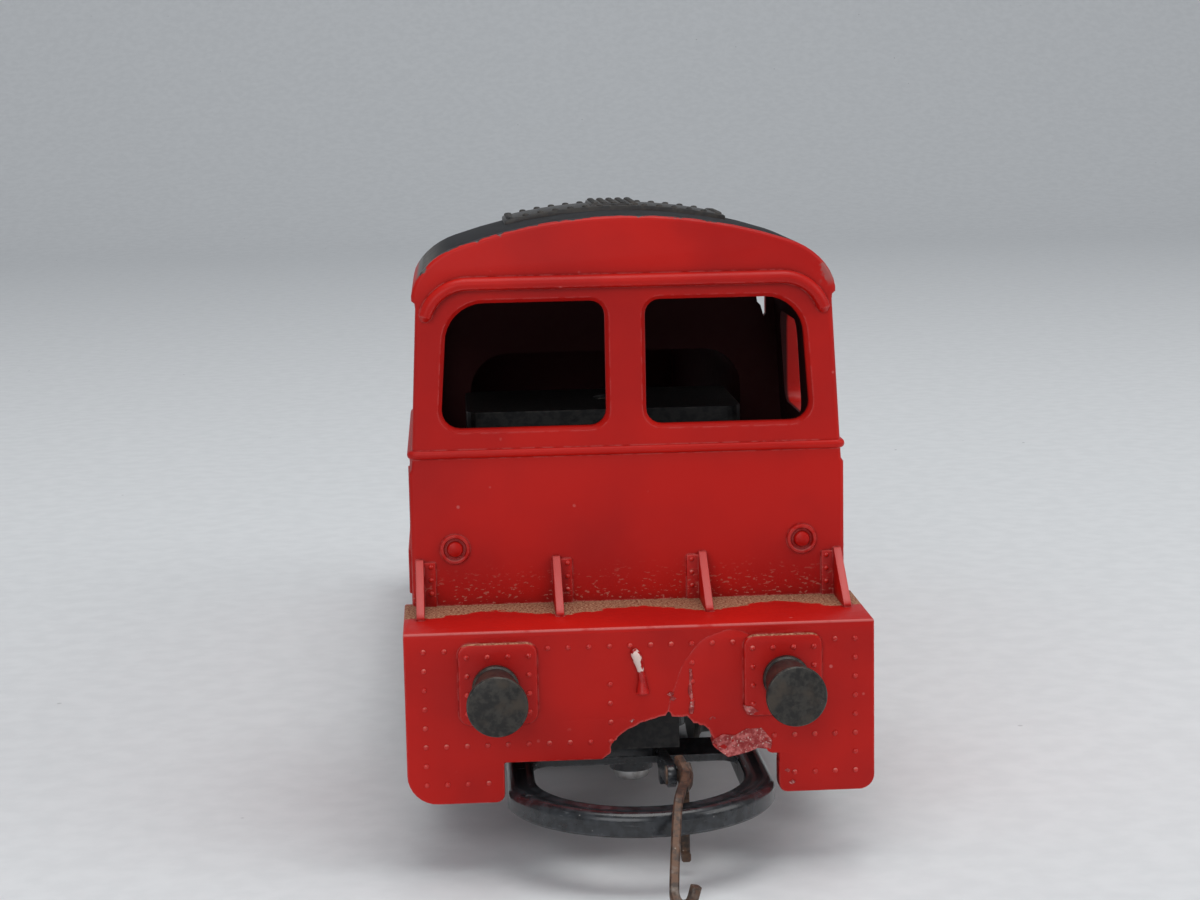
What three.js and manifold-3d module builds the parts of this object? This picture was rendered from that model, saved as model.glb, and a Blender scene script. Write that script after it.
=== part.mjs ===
// A 1:76 scale model of a small four-wheeled diesel shunting locomotive.
// Millimetres, +Z up. The cab end faces -Y and is called the rear; the bonnet points along +Y.
// The origin is on the surface under the wheel flanges, below the middle of the locomotive.

import * as THREE from 'three';
import { mergeVertices } from 'three/addons/utils/BufferGeometryUtils.js';
import Module from 'manifold-3d';

const wasm = await Module();
wasm.setup();

// ---------------------------------------------------------------- driving dimensions

const HALF_LENGTH = 56;          // middle to the outer face of either buffer beam
const WHEELBASE = 40;
const AXLE_Z = 8;                // also the radius over the wheel flanges
const AXLE_R = 1;
const TREAD_R = 7;
const WHEEL_BACK_X = 7.25;       // half the back-to-back distance
const WHEEL_WIDTH = 2.8;
const CRANK_R = 3.4;
const RUNNING_GAP = 0.1;         // radial clearance of a shaft in its bore
const FIT_GAP = 0.1;             // space left between pieces that touch
const SCREW_R = 0.75;

const DECK_Z = 19.4;             // top of both platforms and of the footplate
const DECK_T = 1.3;
const BEAM_HALF = 18.5;
const BEAM_T = 1.6;
const BEAM_LOW_Z = 5.6;          // bottom of the beam's side lobes
const NOTCH_HALF = 10.85;        // cut-out in the beam for the coupling
const NOTCH_Z = 8.8;
const WALL = 1.15;
const SIDE_WALL = 1.5;           // the cab's sides and roof

const CAB_REAR = -46;
const CAB_FRONT = -20;
const CAB_HALF = 17.8;
const SKIRT_Z = 10;
const WAIST_Z = 31.9;
const EAVE_Z = 44.4;
const ROOF_Z = 50.9;
const ROOF_R = 42;               // radius of the shallow middle of the roof
const ROOF_TURN = 13.4;          // half width where the middle gives way to the rounded shoulders
const DROOP_START = -31;         // ahead of here the roof curves down towards the bonnet
const DROOP = 0.015;
const EAVE_HALF = 17;
const CANT_HALF = 16.65;         // cab half width just under the eaves

const BONNET_HALF = 13.5;
const BONNET_TOP = 38.4;
const BONNET_FRONT = 46;
const BONNET_CORNER = 4;

const BUFFER_X = 11.4;
const BUFFER_Z = 15;
const BUFFER_HEAD_R = 2.35;
const BUFFER_SHANK_R = 1.85;
const BUFFER_REACH = 6.7;        // beam face to the front of the head

const COUPLER_TOP = 6.6;
const COUPLER_T = 1.9;
const LOOP_OUTER_R = 10.8;
const LOOP_INNER_R = 8.4;
const LOOP_HALF = 10.4;
const LOOP_CENTRE_Y = -HALF_LENGTH + 3.2;
const CROSSBAR_Y = -47.5;        // outer edge of the thin bar across the loop
const CROSSBAR_LOW = 5.9;
const COUPLER_END = -42.4;
const HOOK_X = 3.1;
const HOOK_PIVOT_Y = -HALF_LENGTH - 1.2;
const HOOK_PIVOT_Z = 7.7;
const HOOK_T = 0.8;

const GEAR_TEETH = 20;
const MODULE = 0.4;
const GEAR_R = GEAR_TEETH * MODULE / 2;
const WORM_R = 2;                // pitch radius
const MOTOR_Z = AXLE_Z + GEAR_R + WORM_R;
const SHAFT_R = 1;

// ---------------------------------------------------------------- materials

function finish(colour, roughness, metalness = 0) {
  return new THREE.MeshStandardMaterial({ color: colour, roughness, metalness });
}

const RED = () => finish(0xa01c1c, 0.4);
const BLACK_PLASTIC = () => finish(0x17181a, 0.45);
const BLACK_CASTING = () => finish(0x1b1b1d, 0.6, 0.3);
const DARK_STEEL = () => finish(0x35332f, 0.5, 0.9);
const RUSTY_STEEL = () => finish(0x46362c, 0.65, 0.8);
const BRIGHT_STEEL = () => finish(0xb9bcbf, 0.3, 1);
const BRASS = () => finish(0xb08d45, 0.35, 1);
const COPPER = () => finish(0x9c4f24, 0.45, 0.6);
const CARBON = () => finish(0x222222, 0.8);

// ---------------------------------------------------------------- solids

function solid(geometry) {
  const bare = new THREE.BufferGeometry();
  bare.setAttribute('position', geometry.getAttribute('position').clone());
  bare.setIndex(geometry.index ? Array.from(geometry.index.array) : null);
  const merged = mergeVertices(bare, 1e-4);
  const corners = merged.index.array;
  const kept = [];
  for (let i = 0; i < corners.length; i += 3) {
    const [a, b, c] = [corners[i], corners[i + 1], corners[i + 2]];
    if (a !== b && b !== c && c !== a) kept.push(a, b, c);
  }
  return new wasm.Manifold(new wasm.Mesh({
    numProp: 3,
    vertProperties: new Float32Array(merged.getAttribute('position').array),
    triVerts: new Uint32Array(kept),
  }));
}

function geometryOf(body) {
  const mesh = body.getMesh();
  const geometry = new THREE.BufferGeometry();
  geometry.setAttribute('position', new THREE.BufferAttribute(mesh.vertProperties, 3));
  geometry.setIndex(new THREE.BufferAttribute(mesh.triVerts, 1));
  geometry.computeVertexNormals();
  return geometry;
}

const union = (...bodies) => bodies.flat().reduce((whole, body) => whole.add(body));
const cut = (body, ...tools) => tools.flat().reduce((whole, tool) => whole.subtract(tool), body);

function box(x0, x1, y0, y1, z0, z1) {
  const geometry = new THREE.BoxGeometry(x1 - x0, y1 - y0, z1 - z0);
  geometry.translate((x0 + x1) / 2, (y0 + y1) / 2, (z0 + z1) / 2);
  return solid(geometry);
}

function outline(points) {
  return new THREE.Shape(points.map(([a, b]) => new THREE.Vector2(a, b)));
}

function extruded(shape, length, segments) {
  return new THREE.ExtrudeGeometry(shape, { depth: length, bevelEnabled: false, curveSegments: segments });
}

// Two numbers in rising order, for a stretch worked out on either side of the middle.
const span = (a, b) => (a < b ? [a, b] : [b, a]);

const X_AXIS = new THREE.Vector3(1, 0, 0);
const Y_AXIS = new THREE.Vector3(0, 1, 0);
const Z_AXIS = new THREE.Vector3(0, 0, 1);

// An outline in (x, y) pushed along Z, in (x, z) along Y, or in (y, z) along X.
function alongZ(shape, z0, z1, segments = 3) {
  return solid(extruded(shape, z1 - z0, segments).translate(0, 0, z0));
}

function alongY(shape, y0, y1, segments = 3) {
  const turn = new THREE.Matrix4().makeBasis(X_AXIS, Z_AXIS, Y_AXIS.clone().negate());
  return solid(extruded(shape, y1 - y0, segments).applyMatrix4(turn).translate(0, y1, 0));
}

function alongX(shape, x0, x1, segments = 3) {
  const turn = new THREE.Matrix4().makeBasis(Y_AXIS, Z_AXIS, X_AXIS);
  return solid(extruded(shape, x1 - x0, segments).applyMatrix4(turn).translate(x0, 0, 0));
}

function rodX(radius, x0, x1, y, z, sides = 12) {
  const geometry = new THREE.CylinderGeometry(radius, radius, x1 - x0, sides).rotateZ(-Math.PI / 2);
  return solid(geometry.translate((x0 + x1) / 2, y, z));
}

function rodY(radius, y0, y1, x, z, sides = 12) {
  const geometry = new THREE.CylinderGeometry(radius, radius, y1 - y0, sides);
  return solid(geometry.translate(x, (y0 + y1) / 2, z));
}

function rodZ(radius, z0, z1, x, y, sides = 10) {
  const geometry = new THREE.CylinderGeometry(radius, radius, z1 - z0, sides).rotateX(Math.PI / 2);
  return solid(geometry.translate(x, y, (z0 + z1) / 2));
}

// A profile of [radius, height] points, listed with the outside going up, turned about Z.
function turned(profile, sides = 16) {
  const points = profile.map(([r, h]) => new THREE.Vector2(r, h));
  return new THREE.LatheGeometry(points, sides).rotateX(Math.PI / 2);
}

function roundedRect(x0, x1, z0, z1, r) {
  const shape = new THREE.Shape();
  shape.absarc(x0 + r, z0 + r, r, Math.PI, 1.5 * Math.PI);
  shape.absarc(x1 - r, z0 + r, r, 1.5 * Math.PI, 2 * Math.PI);
  shape.absarc(x1 - r, z1 - r, r, 0, 0.5 * Math.PI);
  shape.absarc(x0 + r, z1 - r, r, 0.5 * Math.PI, Math.PI);
  return shape;
}

// A closed solid through sections of equal length, each a list of [x, y, z] points round its own middle.
function stacked(sections, middles) {
  const count = sections[0].length;
  const ring = count + 1;
  const positions = sections.flatMap((section, s) => [...section, middles[s]].flat());
  const faces = [];
  for (let i = 0; i < count; i += 1) {
    const next = (i + 1) % count;
    for (let s = 0; s + 1 < sections.length; s += 1) {
      const [a, b] = [s * ring + i, s * ring + next];
      faces.push(a, b, a + ring, b, b + ring, a + ring);
    }
    const last = (sections.length - 1) * ring;
    faces.push(count, next, i, last + count, last + i, last + next);
  }
  const geometry = new THREE.BufferGeometry();
  geometry.setAttribute('position', new THREE.Float32BufferAttribute(positions, 3));
  geometry.setIndex(faces);
  return solid(geometry);
}

function swept(section, points, steps) {
  const path = new THREE.CatmullRomCurve3(points.map((p) => new THREE.Vector3(...p)), false, 'centripetal');
  return solid(new THREE.ExtrudeGeometry(section, { steps, extrudePath: path, bevelEnabled: false }));
}

function wire(points, radius, steps, sides = 6) {
  const section = outline(Array.from({ length: sides }, (_, i) => {
    const angle = 2 * Math.PI * i / sides;
    return [radius * Math.cos(angle), radius * Math.sin(angle)];
  }));
  return swept(section, points, steps);
}

// ---------------------------------------------------------------- the model tree

const locomotive = new THREE.Group();
locomotive.name = 'diesel_shunter';

function piece(name, body, material, parent = locomotive) {
  const mesh = new THREE.Mesh(geometryOf(body), material);
  mesh.name = name;
  parent.add(mesh);
  return mesh;
}

function groupAt(x, y, z, turnZ = 0) {
  const group = new THREE.Group();
  group.position.set(x, y, z);
  group.rotation.z = turnZ;
  locomotive.add(group);
  return group;
}

// ---------------------------------------------------------------- body shell

// The height of the roof's shallow middle at a half width.
const crownZ = (x) => ROOF_Z - ROOF_R + Math.sqrt(ROOF_R * ROOF_R - x * x);

// The cab's section at a place along it: skirt, waist, eave, shoulder and the shallow middle of the roof.
function cabSection(y, inset, lowZ) {
  const half = CAB_HALF - inset;
  const cant = CANT_HALF - inset;
  const lip = inset ? cant : EAVE_HALF;
  const turn = ROOF_TURN - inset / 2;
  const side = [[half, lowZ], [half, WAIST_Z - 1.5], [cant, EAVE_Z - 0.7], [lip, EAVE_Z]];
  const shoulder = new THREE.CubicBezierCurve(
    new THREE.Vector2(lip, EAVE_Z + 0.4),
    new THREE.Vector2(lip - 0.2, EAVE_Z + 2.3 - inset / 2),
    new THREE.Vector2(turn + 1.9, EAVE_Z + 3.7 - inset),
    new THREE.Vector2(turn, crownZ(turn) - inset),
  );
  const middle = [0.75, 0.5, 0.25].map((share) => [turn * share, crownZ(turn * share) - inset]);
  const right = [...side, ...shoulder.getPoints(4).map(({ x, y: z }) => [x, z]), ...middle];
  const left = right.map(([x, z]) => [-x, z]);
  const droop = DROOP * Math.max(0, y - DROOP_START) ** 2 / (ROOF_Z - EAVE_Z);
  const whole = [...left, [0, ROOF_Z - inset], ...right.reverse()];
  return whole.map(([x, z]) => [x, y, z - droop * Math.max(0, z - EAVE_Z)]);
}

function cabBody(inset, lowZ, y0, y1) {
  const places = [y0, DROOP_START, DROOP_START + 4, DROOP_START + 8, y1];
  return stacked(places.map((y) => cabSection(y, inset, lowZ)), places.map((y) => [0, y, WAIST_Z]));
}

function bonnetOutline(inset, lowZ) {
  const half = BONNET_HALF - inset;
  const top = BONNET_TOP - inset;
  const r = BONNET_CORNER - inset / 2;
  const shape = new THREE.Shape();
  shape.moveTo(-half, lowZ);
  shape.lineTo(half, lowZ);
  shape.absarc(half - r, top - r, r, 0, Math.PI / 2);
  shape.absarc(r - half, top - r, r, Math.PI / 2, Math.PI);
  return shape;
}

// The plate across the end of the frames, seen along Y: two lobes beside the coupling's notch.
function beamOutline() {
  const lobe = 2.4;
  const shape = new THREE.Shape();
  shape.absarc(lobe - BEAM_HALF, BEAM_LOW_Z + lobe, lobe, Math.PI, 1.5 * Math.PI);
  shape.lineTo(-NOTCH_HALF, BEAM_LOW_Z);
  shape.lineTo(-NOTCH_HALF, NOTCH_Z);
  shape.lineTo(NOTCH_HALF, NOTCH_Z);
  shape.lineTo(NOTCH_HALF, BEAM_LOW_Z);
  shape.absarc(BEAM_HALF - lobe / 2, BEAM_LOW_Z + lobe / 2, lobe / 2, 1.5 * Math.PI, 2 * Math.PI);
  shape.lineTo(BEAM_HALF, DECK_Z);
  shape.lineTo(-BEAM_HALF, DECK_Z);
  return shape;
}

// The rear beam has lost a piece above the notch: the ragged edge of what is left.
function breakOutline() {
  return outline([
    [-4, NOTCH_Z - 1], [-3.2, NOTCH_Z], [-2.3, 9.9], [-1.2, 11.1], [0.9, 12], [2.1, 12.4],
    [3.7, 12.2], [4.5, 11.6], [5.4, 10.8], [5.8, 9.9], [6.9, 9.4], [8.6, 9.6], [9.6, 10],
    [10.2, NOTCH_Z], [10.2, NOTCH_Z - 1],
  ]);
}

const GUSSET_X = [-17.2, -6, 6, 17.2];
const GUSSET_T = 0.65;
const GUSSET_TOP = DECK_Z + 3.9;
const GUSSET_REACH = 5.5;
const FLANGE_W = 1.3;

function gussets(wallY, outward) {
  const tip = wallY + outward * GUSSET_REACH;
  const overlap = wallY - outward * 0.5;
  const side = outline([[overlap, DECK_Z - 0.5], [tip, DECK_Z - 0.5], [tip, DECK_Z + 0.3],
    [wallY + outward * 0.4, GUSSET_TOP], [overlap, GUSSET_TOP]]);
  const flangeY = span(overlap, wallY + outward * 0.3);
  return GUSSET_X.flatMap((x) => {
    const inward = -Math.sign(x);
    const flangeX = span(x, x + inward * FLANGE_W);
    return [
      alongX(side, x - GUSSET_T / 2, x + GUSSET_T / 2),
      box(...flangeX, ...flangeY, DECK_Z - 0.5, GUSSET_TOP - 0.2),
    ];
  });
}

function lampBoss(x, wallY, outward) {
  const [y0, y1] = span(wallY - outward * 0.5, wallY + outward * 0.35);
  const [d0, d1] = span(wallY, wallY + outward * 0.6);
  const z = DECK_Z + 4.7;
  const [c0, c1] = span(wallY + outward * 0.1, wallY + outward * 2);
  const ring = cut(rodY(1.2, y0, y1, x, z), rodY(0.85, c0, c1, x, z));
  return union(ring, rodY(0.65, d0, d1, x, z, 10));
}

// A pair of windows either side of a pillar. The outer top corners are rounder than the rest.
const REAR_WINDOW = {
  inner: 1.65, outer: 14.75, sill: DECK_Z + 14.5, head: DECK_Z + 24.8, r: 1.3, topR: 3.2,
};

function rearWindowCuts() {
  const { inner, outer, sill, head, r, topR } = REAR_WINDOW;
  return [-1, 1].map((sign) => {
    const shape = new THREE.Shape();
    const place = (u, z, radius, from) => {
      const steps = 3;
      for (let i = 0; i <= steps; i += 1) {
        const a = from + i * Math.PI / 2 / steps;
        const x = sign * (u + radius * Math.cos(a));
        if (i === 0 && from === Math.PI) shape.moveTo(x, z + radius * Math.sin(a));
        else shape.lineTo(x, z + radius * Math.sin(a));
      }
    };
    place(inner + r, sill + r, r, Math.PI);
    place(outer - r, sill + r, r, 1.5 * Math.PI);
    place(outer - topR, head - topR, topR, 0);
    place(inner + r, head - r, r, 0.5 * Math.PI);
    return alongY(shape, CAB_REAR - 1, CAB_REAR + WALL + 1);
  });
}

function sideWindowCuts() {
  const shape = () => roundedRect(-35, -24.7, DECK_Z + 13.4, DECK_Z + 21.6, 1.6);
  const [inside, outside] = [CAB_HALF - 4, CAB_HALF + 2];
  return [-1, 1].map((sign) => alongX(shape(), ...span(sign * inside, sign * outside)));
}

// A ragged hole through the cab's front wall, beside the bonnet.
function frontHoleCut() {
  const [low, high] = [DECK_Z + 20.6, DECK_Z + 25];
  const shape = outline([[14.6, low], [14.8, low + 0.3], [14.8, high], [13.1, high], [13.3, high - 1.9],
    [13.9, high - 2.3], [14, high - 3], [14.3, high - 3.3]]);
  return alongY(shape, CAB_FRONT - 2, CAB_FRONT + 1);
}

// The rain strip over the rear windows: straight in the middle and turned down at both ends.
function rainStrip(wallY, outward) {
  const [low, high, turnX, turnR] = [DECK_Z + 26, DECK_Z + 26.7, 12.3, 3.5];
  const shape = new THREE.Shape();
  shape.absarc(-turnX, high - turnR, turnR, Math.PI, Math.PI / 2, true);
  shape.absarc(turnX, high - turnR, turnR, Math.PI / 2, 0, true);
  shape.absarc(turnX, high - turnR, turnR - (high - low), 0, Math.PI / 2);
  shape.absarc(-turnX, high - turnR, turnR - (high - low), Math.PI / 2, Math.PI);
  const [y0, y1] = span(wallY - outward * 0.5, wallY + outward * 0.9);
  return alongY(shape, y0, y1, 4);
}

function roofHatch() {
  const half = 9.3;
  const rise = 0.45;
  const points = [-1, -0.5, 0, 0.5, 1].map((share) => [half * share, crownZ(half * share) + rise]);
  const under = [1, 0, -1].map((share) => [half * share, crownZ(half * share) - 0.5]);
  const plate = alongY(outline([...under, ...points]), -37, -28);
  return union(plate, box(-2.1, 2.1, -36, -29, ROOF_Z - 0.3, ROOF_Z + 0.75));
}

const BEAD_HALF = 0.35;          // half height of the moulding round the cab's waist
const LAMP_X = 14.24;
const PAD_X = 11.2;              // the raised plates behind the buffers
const PAD_HALF = 3.1;
const SCREW_POST_Y = 39.6;
const POST_HALF = 3.1;
const POST_LOW_Z = 16.3;

function bonnetDetail() {
  const bars = [];
  for (let z = DECK_Z + 3; z < BONNET_TOP - 4; z += 1.6) {
    bars.push(box(-8, 8, BONNET_FRONT - 0.5, BONNET_FRONT + 0.5, z, z + 0.8));
  }
  const doorPitch = 12.8;
  const doors = [-1, 1].flatMap((sign) => [0, 1, 2, 3, 4].map((i) => {
    const [x0, x1] = span(sign * (BONNET_HALF - 0.5), sign * (BONNET_HALF + 0.35));
    const y0 = CAB_FRONT + 1.5 + i * doorPitch;
    return box(x0, x1, y0, y0 + doorPitch - 1.6, DECK_Z + 2, BONNET_TOP - BONNET_CORNER - 0.6);
  }));
  const stack = rodZ(1.6, BONNET_TOP - 1, BONNET_TOP + 3.4, 0, 24, 12);
  return [...bars, ...doors, stack];
}

function bodyShell() {
  const deckLow = DECK_Z - DECK_T;
  const beam = cut(alongY(beamOutline(), -HALF_LENGTH, BEAM_T - HALF_LENGTH),
    alongY(breakOutline(), -HALF_LENGTH - 1, BEAM_T - HALF_LENGTH + 1));
  const frontBeam = alongY(beamOutline(), HALF_LENGTH - BEAM_T, HALF_LENGTH);
  const decks = [
    box(-BEAM_HALF, BEAM_HALF, -HALF_LENGTH, CAB_REAR + WALL, deckLow, DECK_Z),
    box(-BEAM_HALF, BEAM_HALF, CAB_FRONT - WALL, HALF_LENGTH, deckLow, DECK_Z),
  ];
  const valances = [-1, 1].map((sign) => {
    const [x0, x1] = span(sign * BEAM_HALF, sign * (BEAM_HALF - WALL));
    return box(x0, x1, CAB_FRONT - WALL, HALF_LENGTH - 0.5, DECK_Z - 4.2, DECK_Z - 0.5);
  });
  const cab = cabBody(0, SKIRT_Z, CAB_REAR, CAB_FRONT);
  const cabSpace = cabBody(SIDE_WALL, SKIRT_Z - 1, CAB_REAR + WALL, CAB_FRONT - WALL);
  const underHalf = CAB_HALF - SIDE_WALL;
  const underCab = box(-underHalf, underHalf, CAB_REAR - 1, CAB_FRONT + 1, SKIRT_Z - 1, deckLow);
  const bonnet = alongY(bonnetOutline(0, deckLow), CAB_FRONT - WALL, BONNET_FRONT);
  const bonnetSpace = alongY(bonnetOutline(WALL, deckLow - 1), CAB_FRONT - WALL - 1, BONNET_FRONT - WALL);
  const post = (y0, y1) => box(-POST_HALF, POST_HALF, y0, y1, POST_LOW_Z, DECK_Z + 1);
  const posts = [post(CAB_REAR + 0.5, -SCREW_POST_Y + 2.5), post(SCREW_POST_Y - 2.5, BONNET_FRONT - 0.5)];
  const holeR = SCREW_R + RUNNING_GAP;
  const screwHoles = [-1, 1].map((sign) => rodZ(holeR, POST_LOW_Z - 1, DECK_Z - 0.6, 0, sign * SCREW_POST_Y));
  const bead = box(-CAB_HALF, CAB_HALF, CAB_REAR - BEAD_HALF, CAB_FRONT + BEAD_HALF,
    WAIST_Z - BEAD_HALF, WAIST_Z + BEAD_HALF);
  const pads = [-1, 1].flatMap((end) => [-1, 1].map((sign) => {
    const x = sign * PAD_X;
    const shape = roundedRect(x - PAD_HALF, x + PAD_HALF, DECK_Z - 7.4, DECK_Z - 0.9, 0.9);
    const [y0, y1] = span(end * (HALF_LENGTH - 0.5), end * (HALF_LENGTH + 0.5));
    return alongY(shape, y0, y1, 2);
  }));
  const bufferHoles = [-1, 1].flatMap((end) => [-1, 1].map((sign) => {
    const [y0, y1] = span(end * (HALF_LENGTH - 3), end * (HALF_LENGTH + 1));
    return rodY(1, y0, y1, sign * BUFFER_X, BUFFER_Z, 10);
  }));
  const drawhooks = [-1, 1].map((end) => {
    const [y0, y1] = span(end * (HALF_LENGTH - 0.5), end * (HALF_LENGTH + 0.7));
    return box(-0.4, 0.4, y0, y1, DECK_Z - 5, DECK_Z - 1.6);
  });
  const whole = union(cab, bonnet, decks, valances, beam, frontBeam, bead, pads, drawhooks,
    gussets(CAB_REAR, -1), gussets(BONNET_FRONT, 1), rainStrip(CAB_REAR, -1), roofHatch(),
    bonnetDetail(), [-LAMP_X, LAMP_X].map((x) => lampBoss(x, CAB_REAR, -1)));
  const hollow = cut(whole, cabSpace, underCab, bonnetSpace, rearWindowCuts(), sideWindowCuts(),
    frontHoleCut(), bufferHoles);
  return cut(union(hollow, posts), screwHoles);
}

piece('body_shell', bodyShell(), RED());

// ---------------------------------------------------------------- buffers

function buffer() {
  const spigot = 2.2;
  const profile = [[0, -spigot], [0.85, -spigot], [0.85, 0.55], [BUFFER_SHANK_R, 0.55],
    [BUFFER_SHANK_R, BUFFER_REACH - 1.3], [BUFFER_HEAD_R, BUFFER_REACH - 0.8],
    [BUFFER_HEAD_R, BUFFER_REACH - 0.3], [1.6, BUFFER_REACH], [0, BUFFER_REACH]];
  return solid(turned(profile, 16).rotateX(Math.PI / 2));
}

for (const [end, turn] of [['rear', 0], ['front', Math.PI]]) {
  for (const [side, sign] of [['left', -1], ['right', 1]]) {
    const outward = turn ? 1 : -1;
    const group = groupAt(sign * BUFFER_X, outward * HALF_LENGTH, BUFFER_Z, turn);
    piece(`buffer_${end}_${side}`, buffer(), DARK_STEEL(), group);
  }
}

// ---------------------------------------------------------------- chassis

const RAIL_IN = 4.6;
const RAIL_OUT = 6.2;
const RAIL_LOW = 5;
const RAIL_TOP = 16;
const MOTOR_BED_Z = 7.2;
const TONGUE_LOW = 8.6;
const TONGUE_TOP = 14.5;
const TONGUE_END = 52.5;
const COUPLING_SCREW_Y = 44;
const KEEPER_SCREW_Y = 8;
const axleY = { rear: -WHEELBASE / 2, front: WHEELBASE / 2 };

function chassisFrame() {
  const railSide = outline([[-30, RAIL_LOW], [30, RAIL_LOW], [30, RAIL_TOP], [12, RAIL_TOP],
    [12, MOTOR_BED_Z], [-13.2, MOTOR_BED_Z], [-13.2, RAIL_TOP], [-30, RAIL_TOP]]);
  const rails = [alongX(railSide, -RAIL_OUT, -RAIL_IN), alongX(railSide, RAIL_IN, RAIL_OUT)];
  const spacers = [
    box(-RAIL_OUT, RAIL_OUT, -30, -26, RAIL_LOW, RAIL_TOP),
    box(-RAIL_OUT, RAIL_OUT, 26, 30, RAIL_LOW, RAIL_TOP),
    box(-RAIL_OUT, RAIL_OUT, -12, 11, RAIL_LOW, MOTOR_BED_Z),
  ];
  const tongues = [
    box(-3.3, 3.3, -TONGUE_END, -29, TONGUE_LOW, TONGUE_TOP),
    box(-3.3, 3.3, 29, TONGUE_END, TONGUE_LOW, TONGUE_TOP),
  ];
  const slots = Object.values(axleY).flatMap((y) => [
    box(-7, 7, y - AXLE_R - RUNNING_GAP, y + AXLE_R + RUNNING_GAP, RAIL_LOW - 1, AXLE_Z),
    rodX(AXLE_R + RUNNING_GAP, -7, 7, y, AXLE_Z, 16),
  ]);
  const holes = [-1, 1].flatMap((sign) => [
    rodZ(SCREW_R + RUNNING_GAP, TONGUE_LOW - 1, TONGUE_LOW + 4, 0, sign * COUPLING_SCREW_Y),
    rodZ(SCREW_R + RUNNING_GAP, TONGUE_LOW - 1, TONGUE_TOP + 1, 0, sign * SCREW_POST_Y),
    rodZ(SCREW_R + RUNNING_GAP, RAIL_LOW - 1, MOTOR_BED_Z - 0.4, 0, sign * KEEPER_SCREW_Y),
  ]);
  return cut(union(rails, spacers, tongues), slots, holes);
}

function keeperPlate() {
  const [low, high] = [3.8, RAIL_LOW - FIT_GAP];
  const plate = alongZ(roundedRect(-RAIL_OUT, RAIL_OUT, -29, 29, 1.5), low, high, 2);
  const pads = Object.values(axleY).flatMap((y) => [-1, 1].map((sign) => {
    const [x0, x1] = span(sign * (RAIL_IN + 0.2), sign * (RAIL_OUT - 0.2));
    return box(x0, x1, y - 0.9, y + 0.9, high - 0.3, AXLE_Z - AXLE_R - FIT_GAP);
  }));
  const gearSlot = box(-1.8, 1.8, axleY.rear - 5.2, axleY.rear + 5.2, low - 1, high + 1);
  const holeR = SCREW_R + RUNNING_GAP;
  const holes = [-1, 1].map((sign) => rodZ(holeR, low - 1, high + 1, 0, sign * KEEPER_SCREW_Y));
  return cut(union(plate, pads), gearSlot, holes);
}

// A screw standing on its head at height 0, its shank pointing up.
function screw(headR, length, headT = 0.8) {
  const profile = [[0, -headT], [headR * 0.75, -headT], [headR, -headT * 0.5], [headR, 0], [SCREW_R, 0],
    [SCREW_R, length - 0.4], [SCREW_R - 0.35, length], [0, length]];
  const slot = box(-headR - 1, headR + 1, -0.2, 0.2, -headT - 1, -headT + 0.35);
  return cut(solid(turned(profile, 12)), slot);
}

piece('chassis_frame', chassisFrame(), BLACK_CASTING());
piece('keeper_plate', keeperPlate(), BLACK_PLASTIC());
for (const [end, sign] of [['rear', -1], ['front', 1]]) {
  const keeperSpot = groupAt(0, sign * KEEPER_SCREW_Y, 3.8 - FIT_GAP);
  piece(`keeper_screw_${end}`, screw(1.4, 2.6), BRIGHT_STEEL(), keeperSpot);
  const bodySpot = groupAt(0, sign * SCREW_POST_Y, TONGUE_LOW - FIT_GAP);
  piece(`body_screw_${end}`, screw(1.5, 9.4), BRIGHT_STEEL(), bodySpot);
}

// ---------------------------------------------------------------- ballast

const BALLAST = { x0: -12.9, x1: 10.6, y0: -36, y1: -22, z0: 17, z1: 33.9 };
const BALLAST_SCREW_Y = -28;

function ballastWeight() {
  const { x0, x1, y0, y1, z0, z1 } = BALLAST;
  const block = alongZ(roundedRect(x0, x1, y0, y1, 1.2), z0, z1, 2);
  const bore = rodZ(SCREW_R + RUNNING_GAP, z0 - 1, z1 + 1, 0, BALLAST_SCREW_Y);
  const headSeat = rodZ(1.8, z1 - 1, z1 + 1, 0, BALLAST_SCREW_Y, 12);
  return cut(block, bore, headSeat);
}

piece('ballast_weight', ballastWeight(), BLACK_CASTING());
const ballastScrew = new THREE.Group();
ballastScrew.position.set(0, BALLAST_SCREW_Y, BALLAST.z1 - 1 + FIT_GAP);
ballastScrew.rotation.x = Math.PI;
locomotive.add(ballastScrew);
piece('ballast_screw', screw(1.5, 15.4), DARK_STEEL(), ballastScrew);

// ---------------------------------------------------------------- wheels, axles and rods

const WHEEL_FACE_X = WHEEL_BACK_X + WHEEL_WIDTH;
const BOSS_PROUD = 0.3;
const ROD_X = WHEEL_FACE_X + BOSS_PROUD + 0.35;
const ROD_T = 0.9;
const crankAngle = { left: -Math.PI / 3, right: Math.PI / 6 };
const sideSign = { left: -1, right: 1 };

const crankY = (side) => CRANK_R * Math.cos(crankAngle[side]);
const crankZ = (side) => CRANK_R * Math.sin(crankAngle[side]);

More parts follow.
